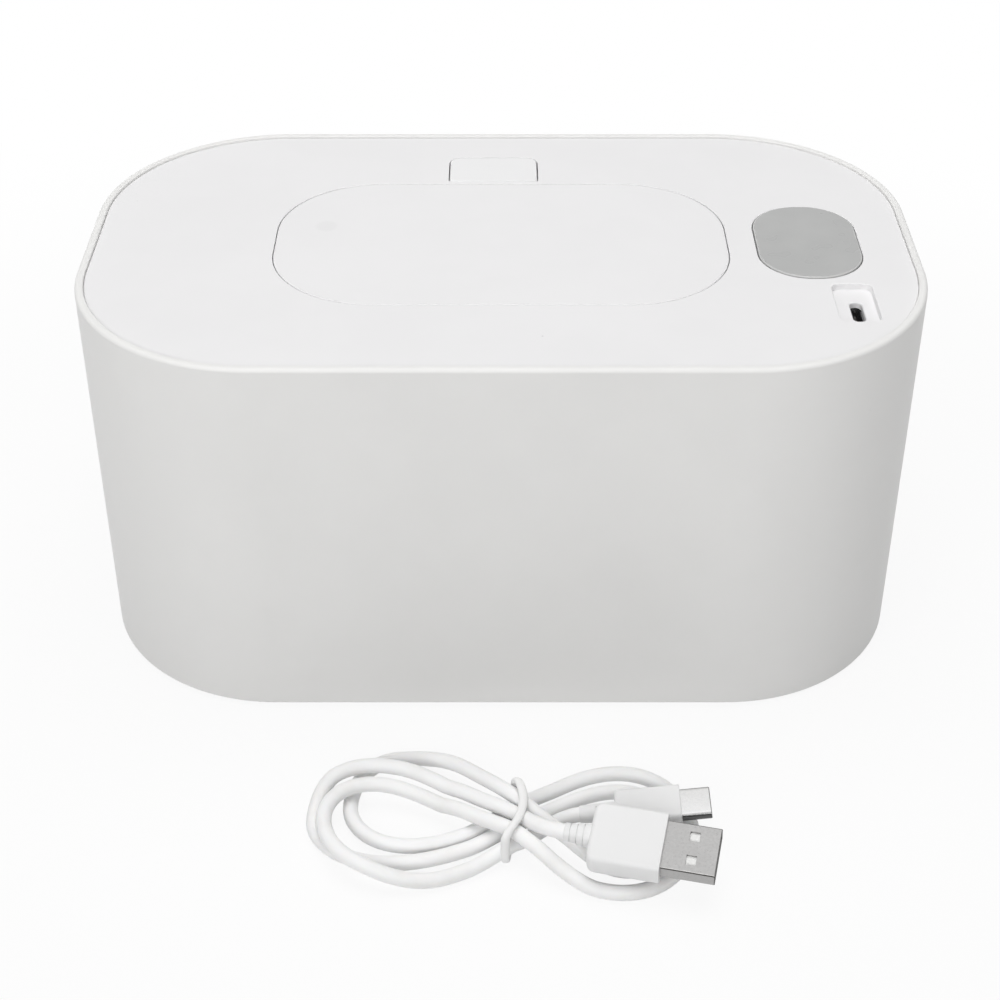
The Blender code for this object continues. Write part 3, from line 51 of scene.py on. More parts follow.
past = 0.001  # how far a cutting body reaches past a face
body_width, body_depth, body_height, corner_radius = 0.2050, 0.1234, 0.0994, 0.0460
tub_wall, tub_floor, rim_round, base_round = 0.0030, 0.0026, 0.0010, 0.0007
foot_proud, foot_x, foot_y, foot_pocket_radius, foot_pocket_top = 0.0008, 0.0720, 0.0400, 0.0058, 0.0023
rim_wall, lid_seam, flap_seam = 0.0021, 0.00005, 0.00016
lid_gap, lid_skin, lid_wall = 0.0004, 0.0025, 0.0020
lid_top, lid_depth = body_height - 0.0006, 0.0198
flap_width, flap_depth, flap_radius, flap_gap, flap_thickness = 0.1120, 0.0630, 0.0255, 0.0004, 0.0024
well_depth, well_wall, collar_height = 0.0105, 0.0015, 0.0056
throat_width, throat_wall, membrane_drop = 0.0760, 0.0016, 0.0160
throat_depth = flap_depth * 0.508
slit_width, slit_length = throat_depth * 0.28, throat_width - 0.0240
hinge_y, hinge_z = -flap_depth / 2 - 0.0060, lid_top - 0.0050
arm_x, arm_width, arm_inner, arm_outer, arm_gap = 0.0220, 0.0050, 0.0080, 0.0106, 0.0006
knuckle_radius, pin_radius, pin_gap, pin_half = 0.0022, 0.0008, 0.00028, 0.0282
button_x, button_width, button_depth, button_y = -0.0020, 0.0230, 0.0140, flap_depth / 2 + 0.0089
button_back_radius, button_front_radius, button_gap, button_front_gap = 0.0030, 0.0008, 0.0005, 0.0004
button_seam, button_front_seam, button_back_seam = 0.00028, 0.00022, 0.00012
button_room_half, button_spring_x, button_wire = button_depth / 2 - button_back_radius, 0.0076, 0.00025
latch_travel, latch_wire, latch_coil_radius = 0.0020, 0.00012, 0.00065
boss_radius, boss_bore, middle_boss_x, plate_bore, head_depth = 0.0031, 0.0015, 0.0340, 0.0013, 0.0016
plate_post, plate_post_x, plate_post_y, plate_corner, plate_reach = 0.0026, 0.0670, 0.0340, 0.0260, 0.0035
window_x, window_y, window_width, window_depth, window_round = 0.0759, -0.0003, 0.0253, 0.0370, 0.0120
recess_x, recess_y, recess_width, recess_length, recess_radius = 0.0837, -0.0304, 0.0097, 0.0177, 0.0022
recess_floor, recess_wall = lid_top - 0.0016, 0.0015
socket_x, socket_y, socket_width, socket_length, socket_wall = 0.0839, -0.0322, 0.00326, 0.00894, 0.00035
slot_width, slot_length = 0.0030, 0.0089
skin_bottom, skirt_bottom = lid_top - lid_skin, lid_top - lid_depth
base_top = skirt_bottom - seat_gap
base_bottom = base_top - 0.0022
gasket_top = base_bottom - seat_gap
ledge_top = gasket_top - 0.0016 - seat_gap
well_floor = lid_top - well_depth
membrane_top = lid_top - membrane_drop
membrane_bottom = membrane_top - 0.0012
plate_bottom = base_bottom - seat_gap - 0.0012
latch_top = lid_top - 0.0057
latch_bottom = latch_top - 0.0016
latch_front = button_y - button_depth / 2 - button_front_gap + 0.0006
latch_window_back = latch_front + 0.0062
button_floor = latch_bottom - seat_gap
flap_bottom = lid_top - flap_thickness

# -------- the lead's route, as in the solids
cord_diameter, waist_x, waist_y, waist_slot, tie_run = 0.0036, 0.0030, -0.1075, 0.00566, 0.0109
tie_radius, tie_half_width, tie_gap, tie_slack = 0.0007, 0.00105, 0.0003, 0.0010
cord_floor, cord_layer, tie_lift = cord_diameter / 2 + 0.0002, cord_diameter + 0.0006, 2 * tie_radius + tie_gap
lobe_round_share, sag_share, bend_pull_share = 0.03, 0.45, 0.40
Lobe = namedtuple("Lobe", "side reach end peaks slots layers hold fall over")
LOBES = (
    Lobe(-1, 0.0440, 0.0005, (-0.0160, 0.0110), (-1, -1), (0, 1), 0.0095, 0.0180, (24, 58, 126, 165)),
    Lobe(1, 0.0413, 0.0005, (-0.0188, 0.0190), (-1, 1), (1, 0), 0.0040, 0.0150, None),
    Lobe(-1, 0.0385, 0.0080, (-0.0046, 0.0242), (1, 1), (0, 1), 0.0095, 0.0180, None),
    Lobe(1, 0.0366, 0.0005, (-0.01215, 0.0130), (1, 0), (1, 0), 0.0091, 0.0140, None),
    Lobe(-1, 0.0468, 0.0035, (-0.0100, 0.0175), (0, 0), (0, 1), 0.0095, 0.0180, (88, 114, 142, 172)),
)
SMALL_PLUG = dict(start=Vector((0.0188, -0.1046, 0.0046)), relief=0.0075, relief_radius=0.0024, length=0.0150,
                  width=0.0093, thickness=0.0048, shell=(0.0066, 0.0083, 0.0025))
FLAT_PLUG = dict(start=Vector((0.01485, -0.1162, 0.01066)), relief=0.0052, relief_radius=0.0027, length=0.0164,
                 width=0.0150, thickness=0.0068, shell=(0.0120, 0.0120, 0.0045))
shell_wall, hole_side, hole_ahead, hole_aside = 0.00045, 0.0023, 0.0062, 0.0029


# -------- outlines and bodies
class Plan:
    """A rectangle with round corners, seen from above."""

    def __init__(self, width, depth, radius, x=0.0, y=0.0, front_radius=None, steps=32):
        self.width, self.depth, self.radius = width, depth, min(radius, width / 2, depth / 2)
        self.x, self.y, self.steps = x, y, steps
        self.front_radius = self.radius if front_radius is None else front_radius

    def grown(self, by):
        return Plan(self.width + 2 * by, self.depth + 2 * by, max(self.radius + by, 0.0001), self.x, self.y,
                    max(self.front_radius + by, 0.0001), self.steps)

    def level(self, height):
        ring = []
        for turn, (sx, sy) in enumerate(((1, 1), (-1, 1), (-1, -1), (1, -1))):
            r = self.radius if sy > 0 else self.front_radius
            cx, cy = self.x + sx * (self.width / 2 - r), self.y + sy * (self.depth / 2 - r)
            for step in range(self.steps + 1):
                a = math.pi / 2 * (turn + step / self.steps)
                ring.append(Vector((cx + r * math.cos(a), cy + r * math.sin(a), height)))
        return ring


def around(steps):
    """Cosine and sine of even turns round a circle."""
    turns = [2 * math.pi * step / steps for step in range(steps)]
    return [(math.cos(a), math.sin(a)) for a in turns]


def quarter(steps):
    """Even turns over a quarter of a circle, both ends with them."""
    return [math.pi / 2 * step / steps for step in range(steps + 1)]


def circle(radius, x, y, height, steps=32):
    return [Vector((x + radius * c, y + radius * s, height)) for c, s in around(steps)]


def coil_line(start, end, aside, ahead, turns, steps):
    """A coil from start to end; aside and ahead are its radius as two vectors."""
    count, ways = turns * steps, around(steps)
    return [start.lerp(end, i / count) + aside * ways[i % steps][0] + ahead * ways[i % steps][1]
            for i in range(count + 1)]


def loft(rings, closed=False):
    """A closed body through rings of equal counts, capped or joined end to end."""
    mesh = bmesh.new()
    rows = [[mesh.verts.new(point) for point in ring] for ring in rings]
    for low, high in list(zip(rows[:-1], rows[1:])) + ([(rows[-1], rows[0])] if closed else []):
        for i in range(len(low)):
            j = (i + 1) % len(low)
            mesh.faces.new((low[i], low[j], high[j], high[i]))
    if not closed:
        mesh.faces.new(list(reversed(rows[0])))
        mesh.faces.new(rows[-1])
    bmesh.ops.recalc_face_normals(mesh, faces=mesh.faces)
    return mesh


def stepped(*levels, closed=False):
    """A body through outlines at heights."""
    return loft([plan.level(height) for plan, height in levels], closed)


def upright(plan, low, high):
    return stepped((plan, low), (plan, high))


def ring_body(outer, inner, low, high, soft=0.0002):
    """A flat ring with softened outer and inner edges."""
    return stepped((outer.grown(-soft), low), (outer, low + soft), (outer, high - soft), (outer.grown(-soft), high),
                   (inner.grown(soft), high), (inner, high - soft), (inner, low + soft), (inner.grown(soft), low),
                   closed=True)


def box(low, high):
    (x0, y0, z0), (x1, y1, z1) = low, high
    return loft([[Vector((x, y, z)) for x, y in ((x0, y0), (x1, y0), (x1, y1), (x0, y1))] for z in (z0, z1)])


def rod(radius, x, y, low, high, steps=32):
    return loft([circle(radius, x, y, low, steps), circle(radius, x, y, high, steps)])


def rods(places, radius, low, high, steps=32):
    """The same rod at each place, as one mesh."""
    return together(*[rod(radius, x, y, low, high, steps) for x, y in places])


def turned(profile, steps):
    return loft([circle(radius, 0, 0, height, steps) for radius, height in profile])


def side_prism(outline, left, right):
    return loft([[Vector((x, y, z)) for y, z in outline] for x in (left, right)])


def side_rod(radius, y, z, left, right, steps=32):
    return side_prism([(y + radius * c, z + radius * s) for c, s in around(steps)], left, right)


def rounded_top(plan, top, radius, steps=5):
    """Levels that turn an upright wall into a flat top over a rounded edge."""
    return [(plan.grown(radius * (math.cos(a) - 1)), top - radius * (1 - math.sin(a))) for a in quarter(steps)]


def flared_top(plan, top, radius, steps=4):
    """Levels of a cutter that leave a rounded edge round the hole that it makes."""
    arc = [(plan.grown(radius * (1 - math.cos(a))), top - radius + radius * math.sin(a)) for a in quarter(steps)]
    return arc[:-1] + [(plan.grown(radius), top + 0.00001), (plan.grown(radius), top + past)]


def together(*meshes):
    whole = bmesh.new()
    for mesh in meshes:
        data = bpy.data.meshes.new("part")
        mesh.to_mesh(data)
        mesh.free()
        whole.from_mesh(data)
        bpy.data.meshes.remove(data)
    return whole


def moved(mesh, matrix):
    bmesh.ops.transform(mesh, matrix=matrix, verts=mesh.verts)
    return mesh


def loose(mesh, name="step"):
    """An object in the scene, made from a mesh in hand."""
    data = bpy.data.meshes.new(name)
    mesh.to_mesh(data)
    mesh.free()
    made = bpy.data.objects.new(name, data)
    bpy.context.scene.collection.objects.link(made)
    return made


def settle(obj):
    """Turns an object's modifiers into its plain mesh."""
    result = bpy.data.meshes.new_from_object(obj.evaluated_get(bpy.context.evaluated_depsgraph_get()))
    old = obj.data
    obj.modifiers.clear()
    if obj.type == "MESH":
        obj.data = result
        bpy.data.meshes.remove(old)
    return obj


def joined(mesh, operation, tools):
    body = loose(mesh)
    for tool in tools:
        cutter = loose(tool)
        step = body.modifiers.new("step", "BOOLEAN")
        step.operation, step.solver, step.object = operation, "EXACT", cutter
        settle(body)
        used = cutter.data
        bpy.data.objects.remove(cutter)
        bpy.data.meshes.remove(used)
    out, data = bmesh.new(), body.data
    out.from_mesh(data)
    bpy.data.objects.remove(body)
    bpy.data.meshes.remove(data)
    return out


def added(mesh, *tools):
    return joined(mesh, "UNION", tools)


def cut(mesh, *tools):
    return joined(mesh, "DIFFERENCE", tools)


def piece(name, source, finish, body, stands_for=(), sharp=34):
    """One finished piece of the warmer, smooth over its roundings and flat on its flats."""
    obj = loose(source, name) if isinstance(source, bmesh.types.BMesh) else source
    obj.name = obj.data.name = name
    obj.data.shade_smooth()
    obj.data.set_sharp_from_angle(angle=math.radians(sharp))
    even = obj.modifiers.new("even", "WEIGHTED_NORMAL")
    even.keep_sharp, even.weight = True, 50
    settle(obj)
    obj.data.materials.clear()
    obj.data.materials.append(finishes[finish])
    for face in obj.data.polygons:
        face.material_index = 0
    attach(obj, body)
    if stands_for:
        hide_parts(*stands_for)
    return obj


# -------- node trees
class Wire:
    """A value in a node tree that Python can do sums with."""

    def __init__(self, nodes, socket):
        self.nodes, self.socket = nodes, socket

    def sum(self, operation, *others, first=None):
        values = [self, *others] if first is None else [first, self]
        return self.nodes.node("ShaderNodeMath", {"operation": operation}, dict(enumerate(values)))

    def __add__(self, other):
        return self.sum("ADD", other)

    def __mul__(self, other):
        return self.sum("MULTIPLY", other)

    def __sub__(self, other):
        return self.sum("SUBTRACT", other)

    def __rsub__(self, other):
        return self.sum("SUBTRACT", first=other)

    def __pow__(self, other):
        return self.sum("POWER", other)

    def __abs__(self):
        return self.sum("ABSOLUTE")

    __radd__, __rmul__ = __add__, __mul__

    def at_least(self, other):
        return self.sum("MAXIMUM", other)

    def at_most(self, other):
        return self.sum("MINIMUM", other)

    def fade(self, low, high, start=0.0, end=1.0):
        """Goes smoothly from start to end while the value goes from low to high."""
        return self.nodes.node("ShaderNodeMapRange", {"interpolation_type": "SMOOTHSTEP"},
                                {"Value": self, "From Min": low, "From Max": high, "To Min": start, "To Max": end})


class Nodes:
    """A node tree in the making."""

    def __init__(self, tree):
        self.tree = tree

    def node(self, kind, settings=None, links=None, output=0):
        made = self.tree.nodes.new(kind)
        for key, value in (settings or {}).items():
            setattr(made, key, value)
        for key, value in (links or {}).items():
            self.join(value, made.inputs[key])
        return Wire(self, made.outputs[output])

    def join(self, value, socket):
        if isinstance(value, Wire):
            self.tree.links.new(value.socket, socket)
        elif value is not None:
            socket.default_value = value

    def looked_at(self):
        """1 for what the eye, a mirror or glass sees, 0 where light is gathered."""
        camera, glossy, through = (self.node("ShaderNodeLightPath", output=name)
                                   for name in ("Is Camera Ray", "Is Glossy Ray", "Is Transmission Ray"))
        return (camera + glossy + through).at_most(1.0)


class Tree(Nodes):
    """A geometry tree. Its inputs are named, and a modifier gets them by identifier."""

    def __init__(self, name, **inputs):
        super().__init__(bpy.data.node_groups.new(name, "GeometryNodeTree"))
        face = self.tree.interface
        face.new_socket("Geometry", in_out="INPUT", socket_type="NodeSocketGeometry")
        for label, kind in inputs.items():
            face.new_socket(label, in_out="INPUT", socket_type="NodeSocket" + kind)
        face.new_socket("Geometry", in_out="OUTPUT", socket_type="NodeSocketGeometry")
        self.start, self.end = (self.tree.nodes.new("NodeGroup" + side) for side in ("Input", "Output"))

    def given(self, label="Geometry"):
        return Wire(self, self.start.outputs[label])

    def finish(self, geometry):
        """Every tree ends in real geometry with its finish on it."""
        real = self.node("GeometryNodeRealizeInstances", links={0: geometry})
        dressed = self.node("GeometryNodeSetMaterial", links={0: real, "Material": self.given("Material")})
        self.join(dressed, self.end.inputs[0])
        return self.tree


def grown_by(tree, obj, **values):
    """Runs a tree on an object, with its inputs given by name, and keeps the result as a mesh."""
    step = obj.modifiers.new("step", "NODES")
    step.node_group = tree
    for item in tree.interface.items_tree:
        if item.item_type == "SOCKET" and item.in_out == "INPUT" and item.name in values:
            step[item.identifier] = values[item.name]
    return settle(obj)


def swept_tree():
    """A round rod, wire or cord that follows a chain of points."""
    t = Tree("swept_along_a_line", Radius="Float", Sides="Int", Material="Material")
    line = t.node("GeometryNodeMeshToCurve", links={0: t.given()})
    ring = t.node("GeometryNodeCurvePrimitiveCircle", {"mode": "RADIUS"},
                  {"Radius": t.given("Radius"), "Resolution": t.given("Sides")})
    body = t.node("GeometryNodeCurveToMesh", links={"Curve": line, "Profile Curve": ring, "Fill Caps": True})
    return t.finish(body)


def section_tree():
    """A moulding whose section runs round a rectangle with round corners."""
    t = Tree("section_round_a_rectangle", Width="Float", Depth="Float", Corner="Float", Steps="Int",
             Material="Material")
    way = t.node("GeometryNodeCurvePrimitiveQuadrilateral", {"mode": "RECTANGLE"},
                 {"Width": t.given("Width"), "Height": t.given("Depth")})
    way = t.node("GeometryNodeFilletCurve", {"mode": "POLY"},
                 {"Curve": way, "Count": t.given("Steps"), "Radius": t.given("Corner")})
    way = t.node("GeometryNodeSetCurveNormal", {"mode": "Z_UP"}, {"Curve": way})
    section = t.node("GeometryNodeMeshToCurve", links={0: t.given()})
    body = t.node("GeometryNodeCurveToMesh", links={"Curve": way, "Profile Curve": section})
    return t.finish(body)


def copies_tree():
    """The same small piece at every point, turned by the point's own turn."""
    t = Tree("one_at_each_place", Copy="Object", Material="Material")
    copy = t.node("GeometryNodeObjectInfo", links={"Object": t.given("Copy"), "As Instance": True}, output="Geometry")
    turn = t.node("GeometryNodeInputNamedAttribute", {"data_type": "FLOAT_VECTOR"}, {"Name": "turn"})
    turn = t.node("FunctionNodeEulerToRotation", links={0: turn})
    copies = t.node("GeometryNodeInstanceOnPoints", links={"Points": t.given(), "Instance": copy, "Rotation": turn})
    return t.finish(copies)


SWEPT, SECTION, COPIES = swept_tree(), section_tree(), copies_tree()


def chain(points, closed=False):
    """A chain of edges through points, for a tree to work on."""
    mesh = bmesh.new()
    spots = [mesh.verts.new(point) for point in points]
    for a, b in zip(spots, spots[1:] + (spots[:1] if closed else [])):
        mesh.edges.new((a, b))
    return loose(mesh, "line")


def swept(points, radius, sides, finish):
    return grown_by(SWEPT, chain(points), Radius=radius, Sides=sides, Material=finishes[finish])


def round_moulding(section, plan, finish, closed=True):
    """A moulding from a section of (out from the outline, height) points."""
    line = chain([Vector((out, -height, 0)) for out, height in section], closed)
    made = grown_by(SECTION, line, Width=plan.width, Depth=plan.depth, Corner=plan.radius, Steps=plan.steps,
                    Material=finishes[finish])
    mesh = bmesh.new()
    mesh.from_mesh(made.data)
    bmesh.ops.remove_doubles(mesh, verts=mesh.verts, dist=1e-6)
    bmesh.ops.translate(mesh, verts=mesh.verts, vec=(plan.x, plan.y, 0))
    edge = [e for e in mesh.edges if e.is_boundary]
    if edge:
        bmesh.ops.holes_fill(mesh, edges=edge)
    bmesh.ops.recalc_face_normals(mesh, faces=mesh.faces)
    mesh.to_mesh(made.data)
    mesh.free()
    return made


def copies(template, places, finish, turns=None):
    """Copies of a template mesh at places."""
    pattern = loose(template, "template")
    mesh = bpy.data.meshes.new("places")
    mesh.from_pydata([tuple(place) for place in places], [], [])
    turn = mesh.attributes.new("turn", "FLOAT_VECTOR", "POINT")
    for i in range(len(places)):
        turn.data[i].vector = turns[i] if turns else (0, 0, 0)
    points = bpy.data.objects.new("places", mesh)
    bpy.context.scene.collection.objects.link(points)
    made = grown_by(COPIES, points, Copy=pattern, Material=finishes[finish])
    used = pattern.data
    bpy.data.objects.remove(pattern)
    bpy.data.meshes.remove(used)
    return made


# -------- finishes
class Finish(Nodes):
    """One material: what is the same all over goes on the shader, the rest comes from nodes."""

    def __init__(self, name, **same):
        self.made = bpy.data.materials.new(name)
        self.made.use_nodes = True
        super().__init__(self.made.node_tree)
        self.shader = self.tree.nodes["Principled BSDF"]
        for key, value in same.items():
            self.shader.inputs[key.replace("_", " ")].default_value = value
        self.place = self.node("ShaderNodeTexCoord", output="Object")

    def wear(self, **varying):
        """Feeds the shader's varying inputs, and returns the material."""
        for key, value in varying.items():
            self.join(value, self.shader.inputs[key.replace("_", " ")])
        return self.made

    def noise(self, size, detail=2.0, rough=0.5, stretch=None):
        """Noise whose features have a size in metres."""
        at = self.node("ShaderNodeMapping", links={"Vector": self.place, "Scale": stretch}) if stretch else self.place
        return self.node("ShaderNodeTexNoise", links={"Vector": at, "Scale": 1 / size, "Detail": detail,
                                                      "Roughness": rough})

    def cells(self, size, loose=1.0):
        """How far a place lies from the nearest of many scattered points."""
        return self.node("ShaderNodeTexVoronoi", links={"Vector": self.place, "Scale": 1 / size, "Randomness": loose})

    def split(self):
        """The three coordinates of a place."""
        parts = self.tree.nodes.new("ShaderNodeSeparateXYZ")
        self.join(self.place, parts.inputs[0])
        return [Wire(self, out) for out in parts.outputs]

    def tint(self, share, low, high):
        """One colour where the share is 0, another where it is 1."""
        low = low if isinstance(low, Wire) else (*low, 1)
        return self.node("ShaderNodeMix", {"data_type": "RGBA"}, {0: share, 6: low, 7: (*high, 1)}, 2)

    def bump(self, height, depth, strength):
        """Relief of a depth in metres."""
        return self.node("ShaderNodeBump", links={"Strength": strength, "Distance": depth, "Height": height})

    def from_edge(self, plan):
        """How far a place lies outside a rounded rectangle, seen from above; inside it is less than zero."""
        x, y, _ = self.split()
        aside = abs(x - plan.x) - (plan.width / 2 - plan.radius)
        ahead = abs(y - plan.y) - (plan.depth / 2 - plan.radius)
        out = (aside.at_least(0.0) ** 2 + ahead.at_least(0.0) ** 2) ** 0.5
        return out + aside.at_least(ahead).at_most(0.0) - plan.radius


def shade(colour, share):
    return tuple(c * share for c in colour)


def moulded(name, colour, roughness, grain=0.0004, relief=0.000004, mottle=0.02, dust=0.0, seam=None, mark=None,
            painted_foot_shade=0.0, **same):
    """Moulded plastic: fine spark grain and faint flow marks. It can have motes of a reach, dust; an outline with
    shade along it, seam; a dull spot, mark, as x, y and radius; and painted shade that darkens it towards its foot by a
    share, painted_foot_shade."""
    f = Finish(name, Roughness=roughness, **same)
    flow = f.noise(0.030, 3.0, 0.6)
    fine = f.noise(grain, 2.0, 0.6)
    tone = f.tint(flow.fade(0.3, 0.7), shade(colour, 1 - mottle), colour)
    if dust:
        mote = f.cells(0.016).fade(dust * 0.5, dust, 1.0, 0.0)
        tone = f.tint(mote * 0.35, tone, shade(colour, 0.45))
    if painted_foot_shade:
        # painted shade: darker towards the bottom, by this share of a darker tone at the floor and none at the top of
        # the body
        height = f.split()[2]
        tone = f.tint(height.fade(0.0, body_height, painted_foot_shade, 0.0), tone, shade(colour, 0.6))
    if mark:
        x, y, _ = f.split()
        spot = ((x - mark[0]) ** 2 + (y - mark[1]) ** 2) ** 0.5
        tone = f.tint(spot.fade(mark[2] * 0.55, mark[2], 1.0, 0.0) * 0.10, tone, shade(colour, 0.62))
    if seam:
        near = abs(f.from_edge(seam)).fade(0.0, 0.0012, 1.0, 0.0)
        tone = f.tint(near * 0.02, tone, (0.30, 0.29, 0.28))
    return f.wear(Base_Color=tone, Roughness=roughness + (flow - 0.5) * 0.10 + (fine - 0.5) * 0.06,
                  Normal=f.bump(fine, relief, 0.6))


def metal(name, colour, roughness, along=(1, 12, 12)):
    """Plated sheet with draw lines and faint tarnish."""
    f = Finish(name, Metallic=1.0, Roughness=roughness)
    lines = f.noise(0.0012, 4.0, 0.65, stretch=along)
    stain = f.noise(0.004, 3.0)
    tone = f.tint(stain.fade(0.35, 0.75), shade(colour, 0.86), colour)
    return f.wear(Base_Color=tone, Roughness=roughness + (lines - 0.5) * 0.18 + (stain - 0.5) * 0.08,
                  Normal=f.bump(lines, 0.000008, 0.5))


def plated(name, colour, dark, roughness=0.30, dull=0.88):
    """Nickel plating with a fine grit and dull stains, and painted shade, read from a face attribute: darker on the
    shell's sideways faces and on its lip.
    """
    f = Finish(name, Metallic=1.0, Roughness=roughness)
    grit, stain = f.noise(0.0006, 3.0, 0.7), f.noise(0.005, 3.0)
    tone = f.tint(grit.fade(0.30, 0.70), shade(colour, dull), colour)
    tone = f.tint(stain.fade(0.45, 0.80) * 0.6, tone, shade(colour, dull))
    # painted shade: each face's share of the dark colour, written on the faces of the plug's shell
    side = f.node("ShaderNodeAttribute", {"attribute_name": "painted_side_shade"}, output="Fac")
    return f.wear(Base_Color=f.tint(side, tone, dark), Roughness=roughness + (grit - 0.5) * 0.16,
                  Normal=f.bump(grit, 0.000008, 0.5))


def rubber(name, colour, roughness=0.75, bloom=0.08, **same):
    """Rubber or silicone with a dusty bloom."""
    f = Finish(name, Roughness=roughness, **same)
    haze, fine = f.noise(0.006, 4.0, 0.6), f.noise(0.0005)
    tone = f.tint(haze.fade(0.3, 0.75), colour, tuple(min(1.0, c + bloom) for c in colour))
    return f.wear(Base_Color=tone, Roughness=roughness + (haze - 0.5) * 0.15, Normal=f.bump(fine, 0.00003, 0.5))


def etched_film():
    """Amber heater film with its meandering foil track."""
    f = Finish("amber_heater_film", Roughness=0.32, Coat_Weight=0.4)
    x, y, _ = f.split()
    bend = f.noise(0.02, 1.0)
    track = (abs(((y + 0.05) * 320 + bend * 0.05).sum("FRACT") - 0.5)).fade(0.18, 0.24)
    side = abs(x).fade(0.060, 0.0605, 1.0, 0.0)
    tone = f.tint(track * side, (0.62, 0.27, 0.06), (0.78, 0.55, 0.32))
    return f.wear(Base_Color=tone, Metallic=track * side * 0.8, Roughness=0.32 + (bend - 0.5) * 0.1)


def solder_mask():
    """Green board with tracks and tinned pads."""
    f = Finish("green_solder_mask", Roughness=0.40, Coat_Weight=0.3)
    tracks = f.node("ShaderNodeTexBrick", links={"Vector": f.place, "Scale": 160.0, "Mortar Size": 0.05,
                                                 "Color1": (0, 0, 0, 1), "Color2": (0, 0, 0, 1),
                                                 "Mortar": (1, 1, 1, 1)}, output="Fac")
    pads = f.cells(0.0028, loose=0.6).fade(0.16, 0.19, 1.0, 0.0)
    tone = f.tint(tracks * 0.6, (0.015, 0.13, 0.05), (0.03, 0.24, 0.09))
    tone = f.tint(pads, tone, (0.72, 0.71, 0.68))
    return f.wear(Base_Color=tone, Metallic=pads, Normal=f.bump(tracks + pads, 0.00003, 0.6))


def open_foam():
    f = Finish("white_foam_pad", Roughness=0.95)
    pores = f.cells(0.0009)
    # painted shade: the foam is darker at the bottom of each pore, where its relief is lowest
    deep = pores.fade(0.0, 0.5)
    tone = f.tint(deep, (0.55, 0.55, 0.53), (0.83, 0.83, 0.81))
    return f.wear(Base_Color=tone, Normal=f.bump(deep, 0.0002, 0.7))


def smoked_window():
    """Grey tinted window: satin face, fine sparkle, and a painted highlight: a paler band along its edge."""
    f = Finish("grey_display_window", Roughness=0.28, Coat_Weight=0.25, Coat_Roughness=0.08)
    plan = Plan(window_width, window_depth, window_round, window_x, window_y)
    haze = f.noise(0.010, 2.0)
    # painted highlight: the window is paler within about half a millimetre of its edge
    rim = f.from_edge(plan).fade(-0.00045, -0.0001)
    tone = f.tint(haze.fade(0.3, 0.7), (0.398, 0.402, 0.398), (0.424, 0.427, 0.422))
    tone = f.tint(rim * 0.40, tone, (0.80, 0.80, 0.79))
    return f.wear(Base_Color=tone, Roughness=0.28 + (haze - 0.5) * 0.06, Normal=f.bump(haze, 0.00001, 0.3))


def cord_jacket():
    """Soft white jacket with a faint drawn sheen along it and fingertip grime."""
    f = Finish("white_cord_jacket", Roughness=0.46, Subsurface_Weight=0.06, Subsurface_Radius=(0.004, 0.003, 0.002),
               Subsurface_Scale=0.4)
    grime = f.noise(0.012, 4.0, 0.6)
    fine = f.noise(0.0005, 2.0)
    tone = f.tint(grime.fade(0.45, 0.8), (0.88, 0.88, 0.88), (0.82, 0.815, 0.805))
    return f.wear(Base_Color=tone, Roughness=0.46 + (grime - 0.5) * 0.14, Normal=f.bump(fine, 0.000015, 0.5))


